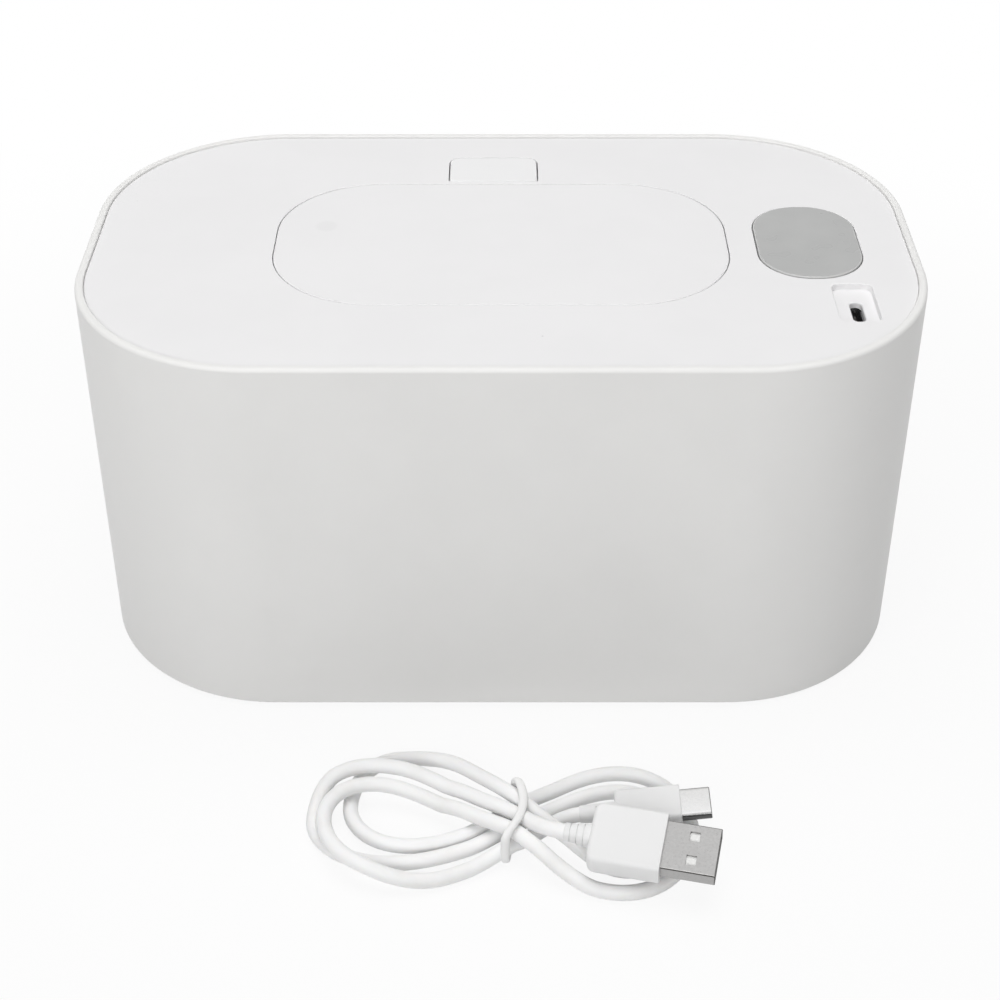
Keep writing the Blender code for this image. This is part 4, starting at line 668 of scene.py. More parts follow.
WHITE_TOP, WHITE_SIDE = (0.845, 0.840, 0.845), (0.844, 0.840, 0.828)
LID_PLAN = Plan(body_width - 2 * (tub_wall + lid_gap), body_depth - 2 * (tub_wall + lid_gap),
                corner_radius - tub_wall - lid_gap, steps=40)
LID_BRIM = LID_PLAN.grown(tub_wall + lid_gap - rim_wall - lid_seam)
FLAP_PLAN = Plan(flap_width, flap_depth, flap_radius)
finishes = {
    # the tub's shell carries painted shade, darker towards its bottom
    "shell": moulded("satin_white_shell", WHITE_SIDE, 0.40, dust=0.012, seam=LID_BRIM.grown(lid_seam), painted_foot_shade=0.18),
    "lid": moulded("satin_white_lid", WHITE_TOP, 0.42, dust=0.02, seam=LID_BRIM),
    "flap": moulded("satin_white_flap", WHITE_TOP, 0.42, dust=0.012, seam=FLAP_PLAN, mark=(-0.0439, 0.0080, 0.0034)),
    "button": moulded("satin_white_button", (0.855, 0.853, 0.856), 0.38),
    "inner": moulded("matt_white_inner", (0.78, 0.78, 0.775), 0.52, grain=0.0008, relief=0.00002, mottle=0.04),
    "plug": moulded("white_plug_grip", (0.79, 0.79, 0.79), 0.42, grain=0.0003, relief=0.00001),
    "contact_block": moulded("white_contact_block", (0.80, 0.80, 0.79), 0.45, grain=0.0003),
    "tie": moulded("white_tie", (0.86, 0.86, 0.855), 0.50, grain=0.0003, mottle=0.05),
    "grey": moulded("grey_latch_plastic", (0.45, 0.45, 0.46), 0.45, mottle=0.06),
    "black": moulded("black_plastic", (0.020, 0.018, 0.016), 0.45, mottle=0.2),
    "ivory": moulded("ivory_connector", (0.75, 0.72, 0.62), 0.5, mottle=0.05),
    "fuse": moulded("ceramic_case", (0.75, 0.72, 0.65), 0.6, mottle=0.1),
    "ferrite": moulded("dark_ferrite", (0.09, 0.09, 0.095), 0.6, grain=0.0006, relief=0.00005, mottle=0.3),
    "epoxy": moulded("dipped_epoxy", (0.04, 0.07, 0.05), 0.25, mottle=0.3),
    "red": moulded("red_insulation", (0.45, 0.03, 0.03), 0.45, mottle=0.1),
    "diffuser": moulded("milky_diffuser", (0.85, 0.85, 0.85), 0.55),
    "segments": moulded("grey_segment_case", (0.58, 0.58, 0.58), 0.5, mottle=0.06),
    "rubber": rubber("grey_foot_rubber", (0.42, 0.42, 0.42)),
    "silicone": rubber("pale_silicone", (0.70, 0.72, 0.73), 0.5, bloom=0.06, Coat_Weight=0.1),
    "nickel": plated("dull_nickel_shell", (0.56, 0.555, 0.55), (0.07, 0.068, 0.065)),
    "bright_nickel": plated("bright_nickel_shell", (0.93, 0.93, 0.93), (0.10, 0.10, 0.10), 0.22, 0.95),
    "steel": metal("bright_steel", (0.62, 0.62, 0.63), 0.28, (6, 6, 6)),
    "gold": metal("gold_contact", (0.86, 0.62, 0.28), 0.3),
    "aluminium": metal("brushed_aluminium", (0.75, 0.75, 0.76), 0.36, (1, 30, 30)),
    "film": etched_film(),
    "board": solder_mask(),
    "foam": open_foam(),
    "window": smoked_window(),
    "cord": cord_jacket(),
}


# -------- camera, floor and light
def set_the_stage():
    """The photograph's viewpoint, a pale floor and plain soft light."""
    scene = bpy.context.scene
    scene.view_settings.view_transform = "Standard"
    lens = bpy.data.cameras.new("view")
    lens.lens, lens.sensor_width, lens.clip_start, lens.clip_end = camera_lens, 36.0, 0.01, 50.0
    camera = bpy.data.objects.new("view", lens)
    camera.location = camera_place
    camera.rotation_euler = (math.radians(camera_tilt), 0, 0)
    scene.collection.objects.link(camera)
    scene.camera = camera

    floor = loose(loft([[Vector((x * 6, y * 6, z)) for x, y in ((-1, -1), (1, -1), (1, 1), (-1, 1))]
                        for z in (-0.02, 0.0)]), "floor")
    f = Finish("pale_floor", Roughness=0.9)
    haze = f.noise(0.4, 2.0)
    f.wear(Base_Color=f.tint(haze, (0.79, 0.79, 0.79), (0.81, 0.81, 0.81)))
    white = f.node("ShaderNodeEmission", links={"Color": (1, 1, 1, 1), "Strength": 1.0})
    away = f.from_edge(Plan(0.24, 0.22, 0.06, 0, -0.03))
    share = f.looked_at() * away.fade(0.0, 0.22, *floor_white)
    mixed = f.node("ShaderNodeMixShader", links={0: share, 1: Wire(f, f.shader.outputs[0]), 2: white})
    f.join(mixed, f.tree.nodes["Material Output"].inputs["Surface"])
    floor.data.materials.append(f.made)

    world = bpy.data.worlds.new("studio")
    scene.world = world
    world.use_nodes = True
    air = world.node_tree.nodes["Background"]
    air.inputs["Color"].default_value = (1.0, 1.0, 1.0, 1.0)
    sky = Nodes(world.node_tree)
    sky.join(sky.looked_at() * (1 - world_level) + world_level, air.inputs["Strength"])

    for name, place, aim, size, power in lamps:
        light = bpy.data.lights.new(name, "AREA")
        light.shape, light.size, light.energy = "DISK", size, power
        lamp = bpy.data.objects.new(name, light)
        lamp.location = place
        lamp.rotation_euler = (Vector(aim) - Vector(place)).to_track_quat("-Z", "Y").to_euler()
        scene.collection.objects.link(lamp)
        lamp.visible_glossy = name != "top_softbox"


camera_place, camera_tilt, camera_lens = (-0.00027, -0.4244, 0.32395), 54.36, 68.98
world_level, floor_white = 0.15, (0.90, 1.0)
lamps = (
    ("top_softbox", (0.0, 0.10, 1.30), (0, 0, 0.05), 1.1, 11.1),
    ("left_softbox", (-0.8, -1.2, 0.9), (0, 0, 0.05), 0.9, 5.8),
    ("front_softbox", (0.0, -1.5, 0.8), (0, 0, 0.05), 0.9, 6.6),
)
set_the_stage()


# -------- the lead
def smooth(share):
    share = min(max(share, 0.0), 1.0)
    return share * share * (3 - 2 * share)


def lobe_path(lobe, count):
    """Centre points of one lobe of the lead, from the waist round and back to it."""
    path = []
    for step in range(count):
        turn = math.pi * step / count
        run = 0 if turn < math.pi / 2 else 1
        slot = lobe.slots[run] * waist_slot
        bulge = lobe.peaks[run] - slot / 2 - lobe.end / 2
        away = (math.sin(turn) - lobe_round_share * math.sin(3 * turn)) * lobe.reach / (1 + lobe_round_share)
        aside = slot * math.cos(turn) ** 2 + lobe.end * math.sin(turn) ** 2 + bulge * abs(math.sin(2 * turn))
        lift = lobe.layers[run] * smooth(1 - (away - lobe.hold) / lobe.fall)
        if lobe.over is not None:
            rise, top, sag, rest = (math.radians(value) for value in lobe.over)
            if turn < sag:
                lift = max(lift, smooth((turn - rise) / (top - rise)))
            else:
                lift = max(lift, 1 - sag_share * smooth((turn - sag) / (rest - sag)))
        height = cord_floor + tie_lift * smooth(1 - away / tie_run) + cord_layer * lift
        path.append(Vector((waist_x + lobe.side * away, waist_y + aside, height)))
    return path


def lobe_way(lobe, run):
    pace = lobe.side * lobe.reach * (1 - 3 * lobe_round_share) / (1 + lobe_round_share)
    bulge = lobe.peaks[run] - lobe.slots[run] * waist_slot / 2 - lobe.end / 2
    sign = -1 if run else 1
    return Vector((sign * pace, sign * 2 * bulge, 0)).normalized()


def waist_place(lobe, run):
    height = cord_floor + tie_lift + cord_layer * lobe.layers[run]
    return Vector((waist_x, waist_y + lobe.slots[run] * waist_slot, height))


def bent(start, start_way, end, end_way, count, arch):
    pull = (end - start).length * bend_pull_share
    handles = (start, start + start_way * pull, end - end_way * pull, end)
    path = []
    for step in range(count):
        u = step / (count - 1)
        weights = ((1 - u) ** 3, 3 * (1 - u) ** 2 * u, 3 * (1 - u) * u * u, u ** 3)
        path.append(sum((w * h for w, h in zip(weights, handles)), Vector((0, 0, arch * 4 * u * (1 - u)))))
    return path


small_way = Vector((math.cos(math.radians(7.5)), 0, math.sin(math.radians(7.5))))
flat_way = Vector((math.cos(math.radians(-13)), math.sin(math.radians(-13)), 0))


def lead_path(per_lobe, per_end):
    """The whole lead: small plug, waist, five lobes of the figure eight, flat plug."""
    first, last = LOBES[0], LOBES[-1]
    c, a = SMALL_PLUG["start"], FLAT_PLUG["start"]
    inner_c, inner_a = c - small_way * 0.0015, a - flat_way * 0.0015
    path = [c] + bent(inner_c, -small_way, waist_place(first, 0), lobe_way(first, 0), per_end, -0.00114)[:-1]
    for lobe in LOBES:
        path += lobe_path(lobe, per_lobe)
    return path + bent(waist_place(last, 1), lobe_way(last, 1), inner_a, flat_way, per_end, 0.00027) + [a]


def length_of(path):
    return sum((b - a).length for a, b in zip(path[:-1], path[1:]))


def plug_frame(start, way, roll):
    """A plug's own axes: X along it, Y across its broad face."""
    across = Vector((0, 0, 1)).cross(way).normalized()
    up = way.cross(across)
    side = math.cos(roll) * across + math.sin(roll) * up
    matrix = Matrix((way, side, way.cross(side))).transposed().to_4x4()
    matrix.translation = start
    return matrix


def slab(width, thickness, radius, along, steps=8):
    """An outline across a plug at a place along it."""
    return [Vector((along, p.x, p.y)) for p in Plan(width, thickness, radius, steps=steps).level(0)]


def slab_body(start, end, width, thickness, radius, steps=8):
    return loft([slab(width, thickness, radius, x, steps) for x in (start, end)])


def grip(start, length, width, thickness, corner, edge):
    """An overmoulded grip: flat faces, soft edges, round corners at its tail and a crisp front."""
    rings = []
    for turn in quarter(8):
        along = corner * (1 - math.cos(turn))
        down = 1 - min(along / edge, 1.0)
        rings.append((along, width - 2 * corner * (1 - math.sin(turn)),
                      thickness - 2 * edge * (1 - math.sqrt(1 - down * down))))
    rings.append((length - 0.00025, width, thickness))
    rings += [(length - 0.00007, width - 0.00015, thickness - 0.00015), (length, width - 0.0005, thickness - 0.0005)]
    return loft([slab(w, t, edge, start + along) for along, w, t in rings])


def strain_relief(profile):
    """A round sleeve from (along, radius) pairs; each step gets a soft shoulder."""
    soft, rings = 0.00012, []
    for (x, r), after in zip(profile, profile[1:] + [(profile[-1][0], 0)]):
        rings += [(x - soft / 2, r), (x + soft / 2, r)] if after[0] - x > soft else [(x, r)]
    rings = [(profile[0][0], profile[0][1] - soft)] + rings[1:]
    return loft([[Vector((x, r * c, r * s)) for c, s in around(32)] for x, r in rings])


def ribbed(length, radii, groove=0.00028):
    """Pairs along a sleeve: collars of the given radii with a groove between each two."""
    pitch, pairs = length / len(radii), []
    for i, radius in enumerate(radii):
        pairs += [(i * pitch, radius), ((i + 1) * pitch - 0.0003, radius)]
        if i + 1 < len(radii):
            low = min(radius, radii[i + 1]) - groove
            pairs += [((i + 1) * pitch - 0.00022, low), ((i + 1) * pitch - 0.00008, low)]
    return pairs + [(length, radii[-1])]


def sleeve(start, length, width, thickness, radius):
    """A pressed metal shell, open in front, with a rolled lip."""
    def ring(along, into):
        return slab(width - 2 * into, thickness - 2 * into, max(radius - into, 0.0001), along)
    wall = shell_wall
    return loft([ring(start + 2 * wall, wall), ring(start + length - 0.0002, wall),
                 ring(start + length, wall * 0.75), ring(start + length, wall * 0.25),
                 ring(start + length - 0.0002, 0), ring(start, 0)])


def paint_side_shade(mesh, place, lip, side=1.0):
    """Writes on each face of a plug's shell its share of painted shade: more as the face turns sideways, side on the
    faces turned fully aside, and at least 0.85 on the lip.
    """
    layer, back = mesh.faces.layers.float.new("painted_side_shade"), place.inverted()
    turn = back.to_3x3()
    mesh.normal_update()
    for face in mesh.faces:
        normal, spot = turn @ face.normal, back @ face.calc_center_median()
        turned_away = abs(normal.y)
        shade_share = smooth((turned_away - 0.25) / 0.45) * (1 if turned_away < 0.97 else side)
        face[layer] = max(shade_share, 0.85 if spot.x > lip else 0.0)
    return mesh


def make_small_plug():
    """The plug that goes into the warmer: an oval shell with its black liner and contacts."""
    p = SMALL_PLUG
    place = plug_frame(p["start"], small_way, math.radians(10))
    body_start = 2 * seat_gap + p["relief"]
    shell_start = body_start + p["length"] + seat_gap
    length, width, thickness = p["shell"]
    large = p["relief_radius"]
    relief = strain_relief([(-0.0005, large * 0.84), (0.0012, large * 0.88), (body_start + 0.0004, large)])
    relief = cut(relief, box((0.0034, -0.0004, large * 0.93 - 0.0007), (0.0046, 0.0004, large + past)))
    body = grip(body_start - seat_gap, p["length"] + seat_gap, p["width"], p["thickness"], 0.0011, 0.0009)
    shell = sleeve(shell_start - seat_gap, length + seat_gap, width, thickness, thickness / 2)
    tip = shell_start + length
    inner = slab_body(shell_start + 2 * shell_wall, tip - 0.0006, width - 2.4 * shell_wall,
                         thickness - 2.4 * shell_wall, 0.0007)
    mouth = slab_body(shell_start + 0.0012, tip, width - 4.6 * shell_wall, thickness - 4.6 * shell_wall, 0.0003)
    inner = cut(inner, mouth)
    out = [
        piece("small_plug_strain_relief", moved(relief, place), "plug", "base",
              ["small_plug_relief"]),
        piece("small_plug_grip", moved(body, place), "plug", "base", ["small_plug_body"]),
        piece("small_plug_metal", paint_side_shade(moved(shell, place), place, tip - 0.00019), "bright_nickel",
              "base", ["small_plug_shell"]),
        piece("small_plug_liner", moved(inner, place), "black", "base"),
    ]
    finger = slab_body(shell_start + 0.0012, tip - 0.0009, 0.00022, 0.00008, 0.00002, 1)
    places = [place.to_3x3() @ Vector((0, (i - 5.5) * 0.0004, side * 0.00028)) for i in range(12) for side in (-1, 1)]
    finger = moved(finger, place.to_3x3().to_4x4())
    fingers = copies(finger, [spot + place.translation for spot in places], "gold")
    out.append(piece("small_plug_contacts", fingers, "gold", "base"))
    return out


def make_flat_plug():
    """The plug that goes into a supply: square holes, a seam where its bent sheet closes, a block with four contacts.
    """
    p = FLAT_PLUG
    place = plug_frame(p["start"], flat_way, math.radians(18))
    body_start = 2 * seat_gap + p["relief"]
    shell_start = body_start + p["length"] + seat_gap
    length, width, thickness = p["shell"]
    small, large = cord_diameter / 2 + 0.0003, p["relief_radius"]
    collars = ribbed(body_start + 0.0005, (small, small + 0.0001, large - 0.0002, large))
    relief = strain_relief([(x - 0.0005, r) for x, r in collars])
    body = grip(body_start - seat_gap, p["length"] + seat_gap, p["width"], p["thickness"], 0.0020, 0.0011)
    shell = sleeve(shell_start - seat_gap, length + seat_gap, width, thickness, shell_wall)
    x, half, middle = shell_start + hole_ahead, hole_side / 2, thickness / 2
    holes = []
    for side in (-1, 1):
        y = side * hole_aside
        for low, high in ((middle - 0.00075, middle + past), (-middle - past, -middle + 0.00075)):
            holes.append(box((x - half, y - half, low), (x + half, y + half, high)))
    seam = box((shell_start - past, -0.00006, -middle - past), (shell_start + length + past, 0.00006, -middle + 0.0002))
    shell = cut(shell, together(*holes), seam)
    half_y = width / 2 - shell_wall - seat_gap
    end = shell_start + length - 0.0010
    block = box((shell_start + 2 * shell_wall + seat_gap, -half_y, 0), (end, half_y, middle - shell_wall - 0.00012))
    grooves = [box((shell_start + 0.003, y - 0.0007, -0.001), (end - 0.0008, y + 0.0007, 0.00025))
               for y in (-0.0035, -0.0011, 0.0011, 0.0035)]
    block = cut(block, together(*grooves))
    blade = slab_body(shell_start + 0.0031, end - 0.0009, 0.0011, 0.00016, 0.00005, 2)
    blade = moved(blade, place.to_3x3().to_4x4())
    spots = [place @ Vector((0, y, 0.00012)) for y in (-0.0035, -0.0011, 0.0011, 0.0035)]
    return [
        piece("flat_plug_strain_relief", moved(relief, place), "plug", "base",
              ["flat_plug_relief"]),
        piece("flat_plug_grip", moved(body, place), "plug", "base", ["flat_plug_body"]),
        piece("flat_plug_metal", paint_side_shade(moved(shell, place), place, shell_start + length - 0.00019, 0.30),
              "nickel", "base", ["flat_plug_shell"]),
        piece("flat_plug_contact_block", moved(block, place), "contact_block", "base",
              ["flat_plug_block"]),
        piece("flat_plug_contacts", copies(blade, spots, "gold"), "gold", "base"),
    ]


def make_tie():
    """The soft flat tie that hugs both layers at the waist; it crosses over the top at a slant."""
    margin = 2 * (tie_gap + tie_radius)
    height = cord_layer + cord_diameter + margin
    width = 2 * (waist_slot + tie_slack) + cord_diameter + margin
    middle = cord_floor + tie_lift + cord_layer / 2
    hug = Plan(width, height, cord_diameter / 2 + tie_radius, steps=10).level(0)
    walk = []
    for a, b in zip(hug, hug[1:] + hug[:1]):
        parts = max(1, round((b - a).length / 0.0008))
        walk += [a.lerp(b, i / parts) for i in range(parts) if (b - a).length > 1e-6]
    rings = []
    for i, spot in enumerate(walk):
        ahead = (walk[(i + 1) % len(walk)] - walk[i - 1]).normalized()
        out = Vector((0, ahead.y, -ahead.x))
        across, up = spot.x / (width / 2), 0.5 + spot.y / height
        over, under = 0.0020 + 0.0012 * across - 0.0029 * across ** 2, 0.0012 * across - 0.0009
        centre = Vector((waist_x + over * up + under * (1 - up), waist_y + spot.x, middle + spot.y))
        rings.append([centre + Vector((tie_half_width * c, 0, 0)) + out * tie_radius * s for c, s in around(14)])
    return piece("lead_tie", loft(rings, True), "tie", "base", ["cord_tie"], sharp=60)


def make_lead():
    fine = lead_path(64, 18)
    lead = piece("power_lead", swept(fine, cord_diameter / 2, 20, "cord"), "cord", "base",
                 ["cord_hank"], sharp=60)
    on_it = [make_tie(), *make_small_plug(), *make_flat_plug()]
    length_of(fine)


make_lead()


# -------- tub
def make_tub():
    """One thin-walled moulding with a rounded rim, a ledge for the lid and pockets for its feet."""
    plan = Plan(body_width, body_depth, corner_radius, steps=44)
    def arc(out, height, radius, start, end, count=6):
        turns = [math.radians(start + (end - start) * i / count) for i in range(count + 1)]
        return [(out + radius * math.cos(a), height + radius * math.sin(a)) for a in turns]
    low, wall = foot_proud, tub_wall
    section = [(-0.030, low)]
    section += arc(-base_round, low + base_round, base_round, -90, 0)
    section += arc(-rim_round, body_height - rim_round, rim_round, 0, 90, 8)
    section += arc(-rim_wall + 0.00035, body_height - 0.00035, 0.00035, 90, 180, 5)
    section += [(-rim_wall, lid_top - 0.0030), (-wall, lid_top - 0.0045)]
    section += [(-wall, ledge_top + 0.0002), (-wall - 0.0002, ledge_top), (-wall - 0.0028, ledge_top)]
    section += arc(-wall - 0.0027, ledge_top - 0.0003, 0.0003, 90, 180, 3)
    section += [(-wall - 0.0030, ledge_top - 0.0026), (-wall, ledge_top - 0.0056)]
    section += arc(-wall - 0.0030, low + tub_floor + 0.0030, 0.0030, 0, -90, 6)
    section += [(-0.030, low + tub_floor)]
    made = round_moulding(section, plan, "shell", closed=False)
    mesh = bmesh.new()
    mesh.from_mesh(made.data)
    bpy.data.objects.remove(made)
    body = cut(mesh, rods(foot_places(), foot_pocket_radius, low - past, foot_pocket_top))
    piece("tub_shell", body, "shell", "base", ["tub"])


def foot_places():
    return [(x, y) for x in (foot_x, -foot_x) for y in (foot_y, -foot_y)]


def make_feet():
    """Rubber feet with two grip rings in their soles."""
    profile = [(0.0006, 0.0), (0.0018, 0.0), (0.0019, 0.0003), (0.0023, 0.0003), (0.0024, 0.0), (0.0036, 0.0),
               (0.0037, 0.0003), (0.0041, 0.0003), (0.0042, 0.0), (0.0051, 0.0), (0.0054, 0.00015), (0.0055, 0.0004),
               (0.0055, 0.0020)]
    feet = copies(turned(profile, steps=40), [(x, y, 0) for x, y in foot_places()], "rubber")
    piece("grip_feet", feet, "rubber", "base", [f"foot_{n}" for n in (1, 2, 3, 4)])


make_tub()
make_feet()


# -------- lid
def boss_places():
    """Where the lid is screwed to its base."""
    inner = LID_PLAN.grown(-lid_wall)
    reach = inner.radius - boss_radius - 0.0014 - 2 * seat_gap
    cx, cy = inner.width / 2 - inner.radius, inner.depth / 2 - inner.radius
    x, y = cx + reach * math.cos(math.radians(55)), cy + reach * math.sin(math.radians(55))
    return ((x, y), (-x, y), (-x, -y), (x, -y), (-middle_boss_x, cy + reach), (middle_boss_x, -cy - reach))


def plate_screw_places():
    """Where the heater plate is screwed to the lid's base, outside the corners of its window."""
    out = (plate_corner + plate_reach) * math.sqrt(0.5)
    x, y = plate_post_x - plate_corner + out, plate_post_y - plate_corner + out
    return ((x, y), (-x, y), (-x, -y), (x, -y))


throat_inner = Plan(throat_width, throat_depth, throat_depth / 2)
throat_outer = throat_inner.grown(throat_wall)
heater_window = Plan(body_width - 0.0710, body_depth - 0.0554, 0.0260)
button_plan = Plan(button_width, button_depth, button_back_radius, button_x, button_y, button_front_radius, 10)
button_hole = Plan(button_width + 2 * button_seam, button_depth + button_front_seam + button_back_seam,
                   button_back_radius + 0.0006, button_x, button_y + (button_back_seam - button_front_seam) / 2,
                   button_front_radius, 10)
window_plan = Plan(window_width, window_depth, window_round, window_x, window_y)
recess_plan = Plan(recess_width, recess_length, recess_radius, recess_x, recess_y, steps=10)


def make_lid_shell():
    """The lid's upper moulding: skin, skirt, wells, throat, button room and socket recess."""
    inner, into = LID_PLAN.grown(-lid_wall), lid_top - lid_skin / 2
    shell = [(inner, skin_bottom), (inner, skirt_bottom), (LID_PLAN, skirt_bottom), (LID_PLAN, lid_top - 0.0040),
             (LID_BRIM, lid_top - 0.0028), *rounded_top(LID_BRIM, lid_top, 0.00030)]
    opening = FLAP_PLAN.grown(flap_seam)
    well_side = 0.0012 + well_wall
    button_block = Plan(button_width + 2 * (button_gap + well_side), button_depth + button_front_gap + 2 * well_wall
                        + button_gap, button_back_radius, button_x, button_y, steps=6)
    lugs = []
    outer_x = arm_x + arm_width / 2 + arm_gap
    for near, far in ((outer_x, outer_x + 0.0022), (0.0110 - 0.0022, 0.0110)):
        for side in (-1, 1):
            left, right = sorted((side * near, side * far))
            lugs.append(box((left, hinge_y - knuckle_radius, hinge_z - knuckle_radius),
                            (right, hinge_y + knuckle_radius, into)))
    body = added(
        stepped(*shell),
        upright(opening.grown(well_wall), well_floor - well_wall, into),
        upright(throat_outer, plate_bottom - seat_gap, well_floor),
        upright(button_block, button_floor - well_wall, into),
        upright(recess_plan.grown(recess_wall), recess_floor - recess_wall, into),
        rods(boss_places(), boss_radius, skirt_bottom, into),
        together(*lugs),
    )
    arm_slots = []
    for side in (-1, 1):
        half = arm_width / 2 + arm_gap
        arm_slots.append(box((side * arm_x - half, hinge_y + knuckle_radius, well_floor - well_wall - past),
                             (side * arm_x + half, hinge_y + arm_outer + arm_gap, skin_bottom)))
    shelf = throat_inner.grown(-0.0016)
    slot = Plan(slot_width, slot_length, slot_width / 2, socket_x, socket_y, steps=10)
    room = button_hole.width / 2 + 0.0012
    window_light, window_hole, window_seat = window_plan.grown(-0.0018), window_plan.grown(0.00025), lid_top - 0.0016
    body = cut(
        body,
        stepped((throat_outer.grown(-0.0004), well_floor + collar_height),
                (throat_outer, well_floor + collar_height - 0.0004),
                (throat_outer, well_floor), (opening.grown(-0.0008), well_floor),
                (opening.grown(-0.0002), well_floor + 0.0002), (opening, well_floor + 0.0008),
                *flared_top(opening, lid_top, 0.00022)),
        stepped((shelf, plate_bottom - seat_gap - past), (shelf, membrane_bottom - seat_gap),
                (throat_inner, membrane_bottom - seat_gap), (throat_inner, lid_top + past)),
        stepped((button_hole, button_floor), *flared_top(button_hole, lid_top, 0.00012)),
        box((button_x - room, button_y - button_room_half, button_floor),
            (button_x + room, button_y + button_room_half, skin_bottom)),
        box((button_x - 0.0036, flap_depth / 2 + flap_gap - past, latch_bottom - seat_gap),
            (button_x + 0.0036, latch_front, latch_top + seat_gap)),
        box((button_x - 0.0025, latch_front + 0.0009, button_floor - well_wall - past),
            (button_x + 0.0025, latch_window_back + 0.0020, button_floor + past)),
        stepped((window_light, skin_bottom - past), (window_light, window_seat), (window_hole, window_seat),
                *flared_top(window_hole, lid_top, 0.0002)),
        stepped((slot, recess_floor - recess_wall - past), (slot, recess_floor - 0.0002),
                (slot.grown(0.0002), recess_floor), (recess_plan.grown(-0.0004), recess_floor),
                (recess_plan.grown(-0.0001), recess_floor + 0.0001), (recess_plan, recess_floor + 0.0004),
                *flared_top(recess_plan, lid_top, 0.0003)),
        rods(boss_places(), boss_bore, skirt_bottom - past, skin_bottom),
        together(*arm_slots),
        side_rod(pin_radius + pin_gap, hinge_y, hinge_z, -pin_half - past, pin_half + past, 20),
    )
    posts = [rod(0.0009, button_x + side * button_spring_x, button_y, button_floor - well_wall / 2,
                 button_floor + 0.0018, 20) for side in (-1, 1)]
    piece("lid_shell", added(body, together(*posts)), "lid", "lid", ["lid_cover"])


def arm_outline():
    """Side view of a hinge arm: down from the pin, round under the lid's edge and up."""
    def at(radius, degrees):
        angle = math.radians(degrees)
        return (hinge_y + radius * math.cos(angle), hinge_z + radius * math.sin(angle))
    root = flap_thickness / 2 + flap_bottom - hinge_z
    outer_end, inner_end = (math.degrees(math.asin(root / r)) for r in (arm_outer, arm_inner))
    neck = knuckle_radius * 0.85
    return ([at(neck, -135)] + [at(arm_outer, -100 + (outer_end + 100) * i / 30) for i in range(31)]
            + [at(arm_inner, inner_end + (-78 - inner_end) * i / 24) for i in range(25)] + [at(neck, -50)])


def make_flap():
    """The pop-up flap: rounded rim, seal rib, two swan-neck arms and its catch."""
    under = FLAP_PLAN.grown(-0.0017)
    levels = [(under.grown(-0.0003), flap_bottom), (under, flap_bottom + 0.0003)]
    levels += rounded_top(FLAP_PLAN, lid_top, 0.00034)
    body = stepped(*levels)
    inside = flap_bottom + flap_thickness / 2
    seal_outer = throat_inner.grown(throat_wall / 2 + 0.0013)
    rib = seal_outer.grown(-0.0026 - seat_gap)
    tools = [ring_body(rib, rib.grown(-0.0012), flap_bottom - 0.0014, inside)]
    for side in (-1, 1):
        left, right = side * arm_x - arm_width / 2, side * arm_x + arm_width / 2
        arm = added(side_prism(arm_outline(), left, right), side_rod(knuckle_radius, hinge_y, hinge_z, left, right))
        tools.append(cut(arm, side_rod(pin_radius + pin_gap, hinge_y, hinge_z, left - past, right + past)))
    back, thick = flap_depth / 2 - 0.0027, 0.0016
    lip, lip_low = latch_bottom - seat_gap, latch_bottom - seat_gap - 0.0015
    tools.append(side_prism([(back - thick, inside), (back - thick, lip_low), (back + 0.0004, lip_low),
                             (back + 0.0013, lip_low + 0.00075), (back + 0.0013, lip), (back, lip), (back, inside)],
                            button_x - 0.0035, button_x + 0.0035))
    piece("pop_up_flap", added(body, *tools), "flap", "flap", ["flap"])
    low = flap_bottom - seat_gap
    section = [(-into, low - down) for into, down in (
        (0, 0), (0, 0.0008), (0.0003, 0.0014), (0.0009, 0.0017), (0.0017, 0.0017), (0.0023, 0.0014), (0.0026, 0.0008),
        (0.0026, 0))]
    seal = round_moulding(section, seal_outer, "silicone")
    piece("flap_lip_seal", seal, "silicone", "flap", ["flap_seal"])


def make_hinge():
    """The pin and the torsion spring that throws the flap open."""
    pin = turned_on_hinge([(-pin_half, pin_radius - 0.0001), (-pin_half + 0.0001, pin_radius),
                             (pin_half - 0.0001, pin_radius), (pin_half, pin_radius - 0.0001)])
    piece("hinge_pin_rod", pin, "steel", "lid", ["hinge_pin"])
    wire, coil = 0.00030, 0.00145
    arm_side, lug_side = -arm_x + arm_width / 2 + arm_gap, -0.0110 - arm_gap
    length, start = lug_side - arm_side - 2 * wire - 2 * seat_gap, arm_side + wire + seat_gap
    line = coil_line(Vector((start, hinge_y, hinge_z)), Vector((start + length, hinge_y, hinge_z)),
                     Vector((0, 0, -coil)), Vector((0, coil, 0)), 5, 20)
    ahead = Vector((0, coil, 0))
    line = [line[0] - 4 * ahead, line[0] - 2 * ahead] + line + [line[-1] + ahead, line[-1] + 2 * ahead]
    piece("flap_torsion_spring", swept(line, wire, 10, "steel"), "steel", "lid", ["flap_spring"], sharp=60)


def turned_on_hinge(profile, steps=20):
    """A rod along X at the hinge, from (x, radius) pairs."""
    return loft([[Vector((x, hinge_y + r * c, hinge_z + r * s)) for c, s in around(steps)] for x, r in profile])


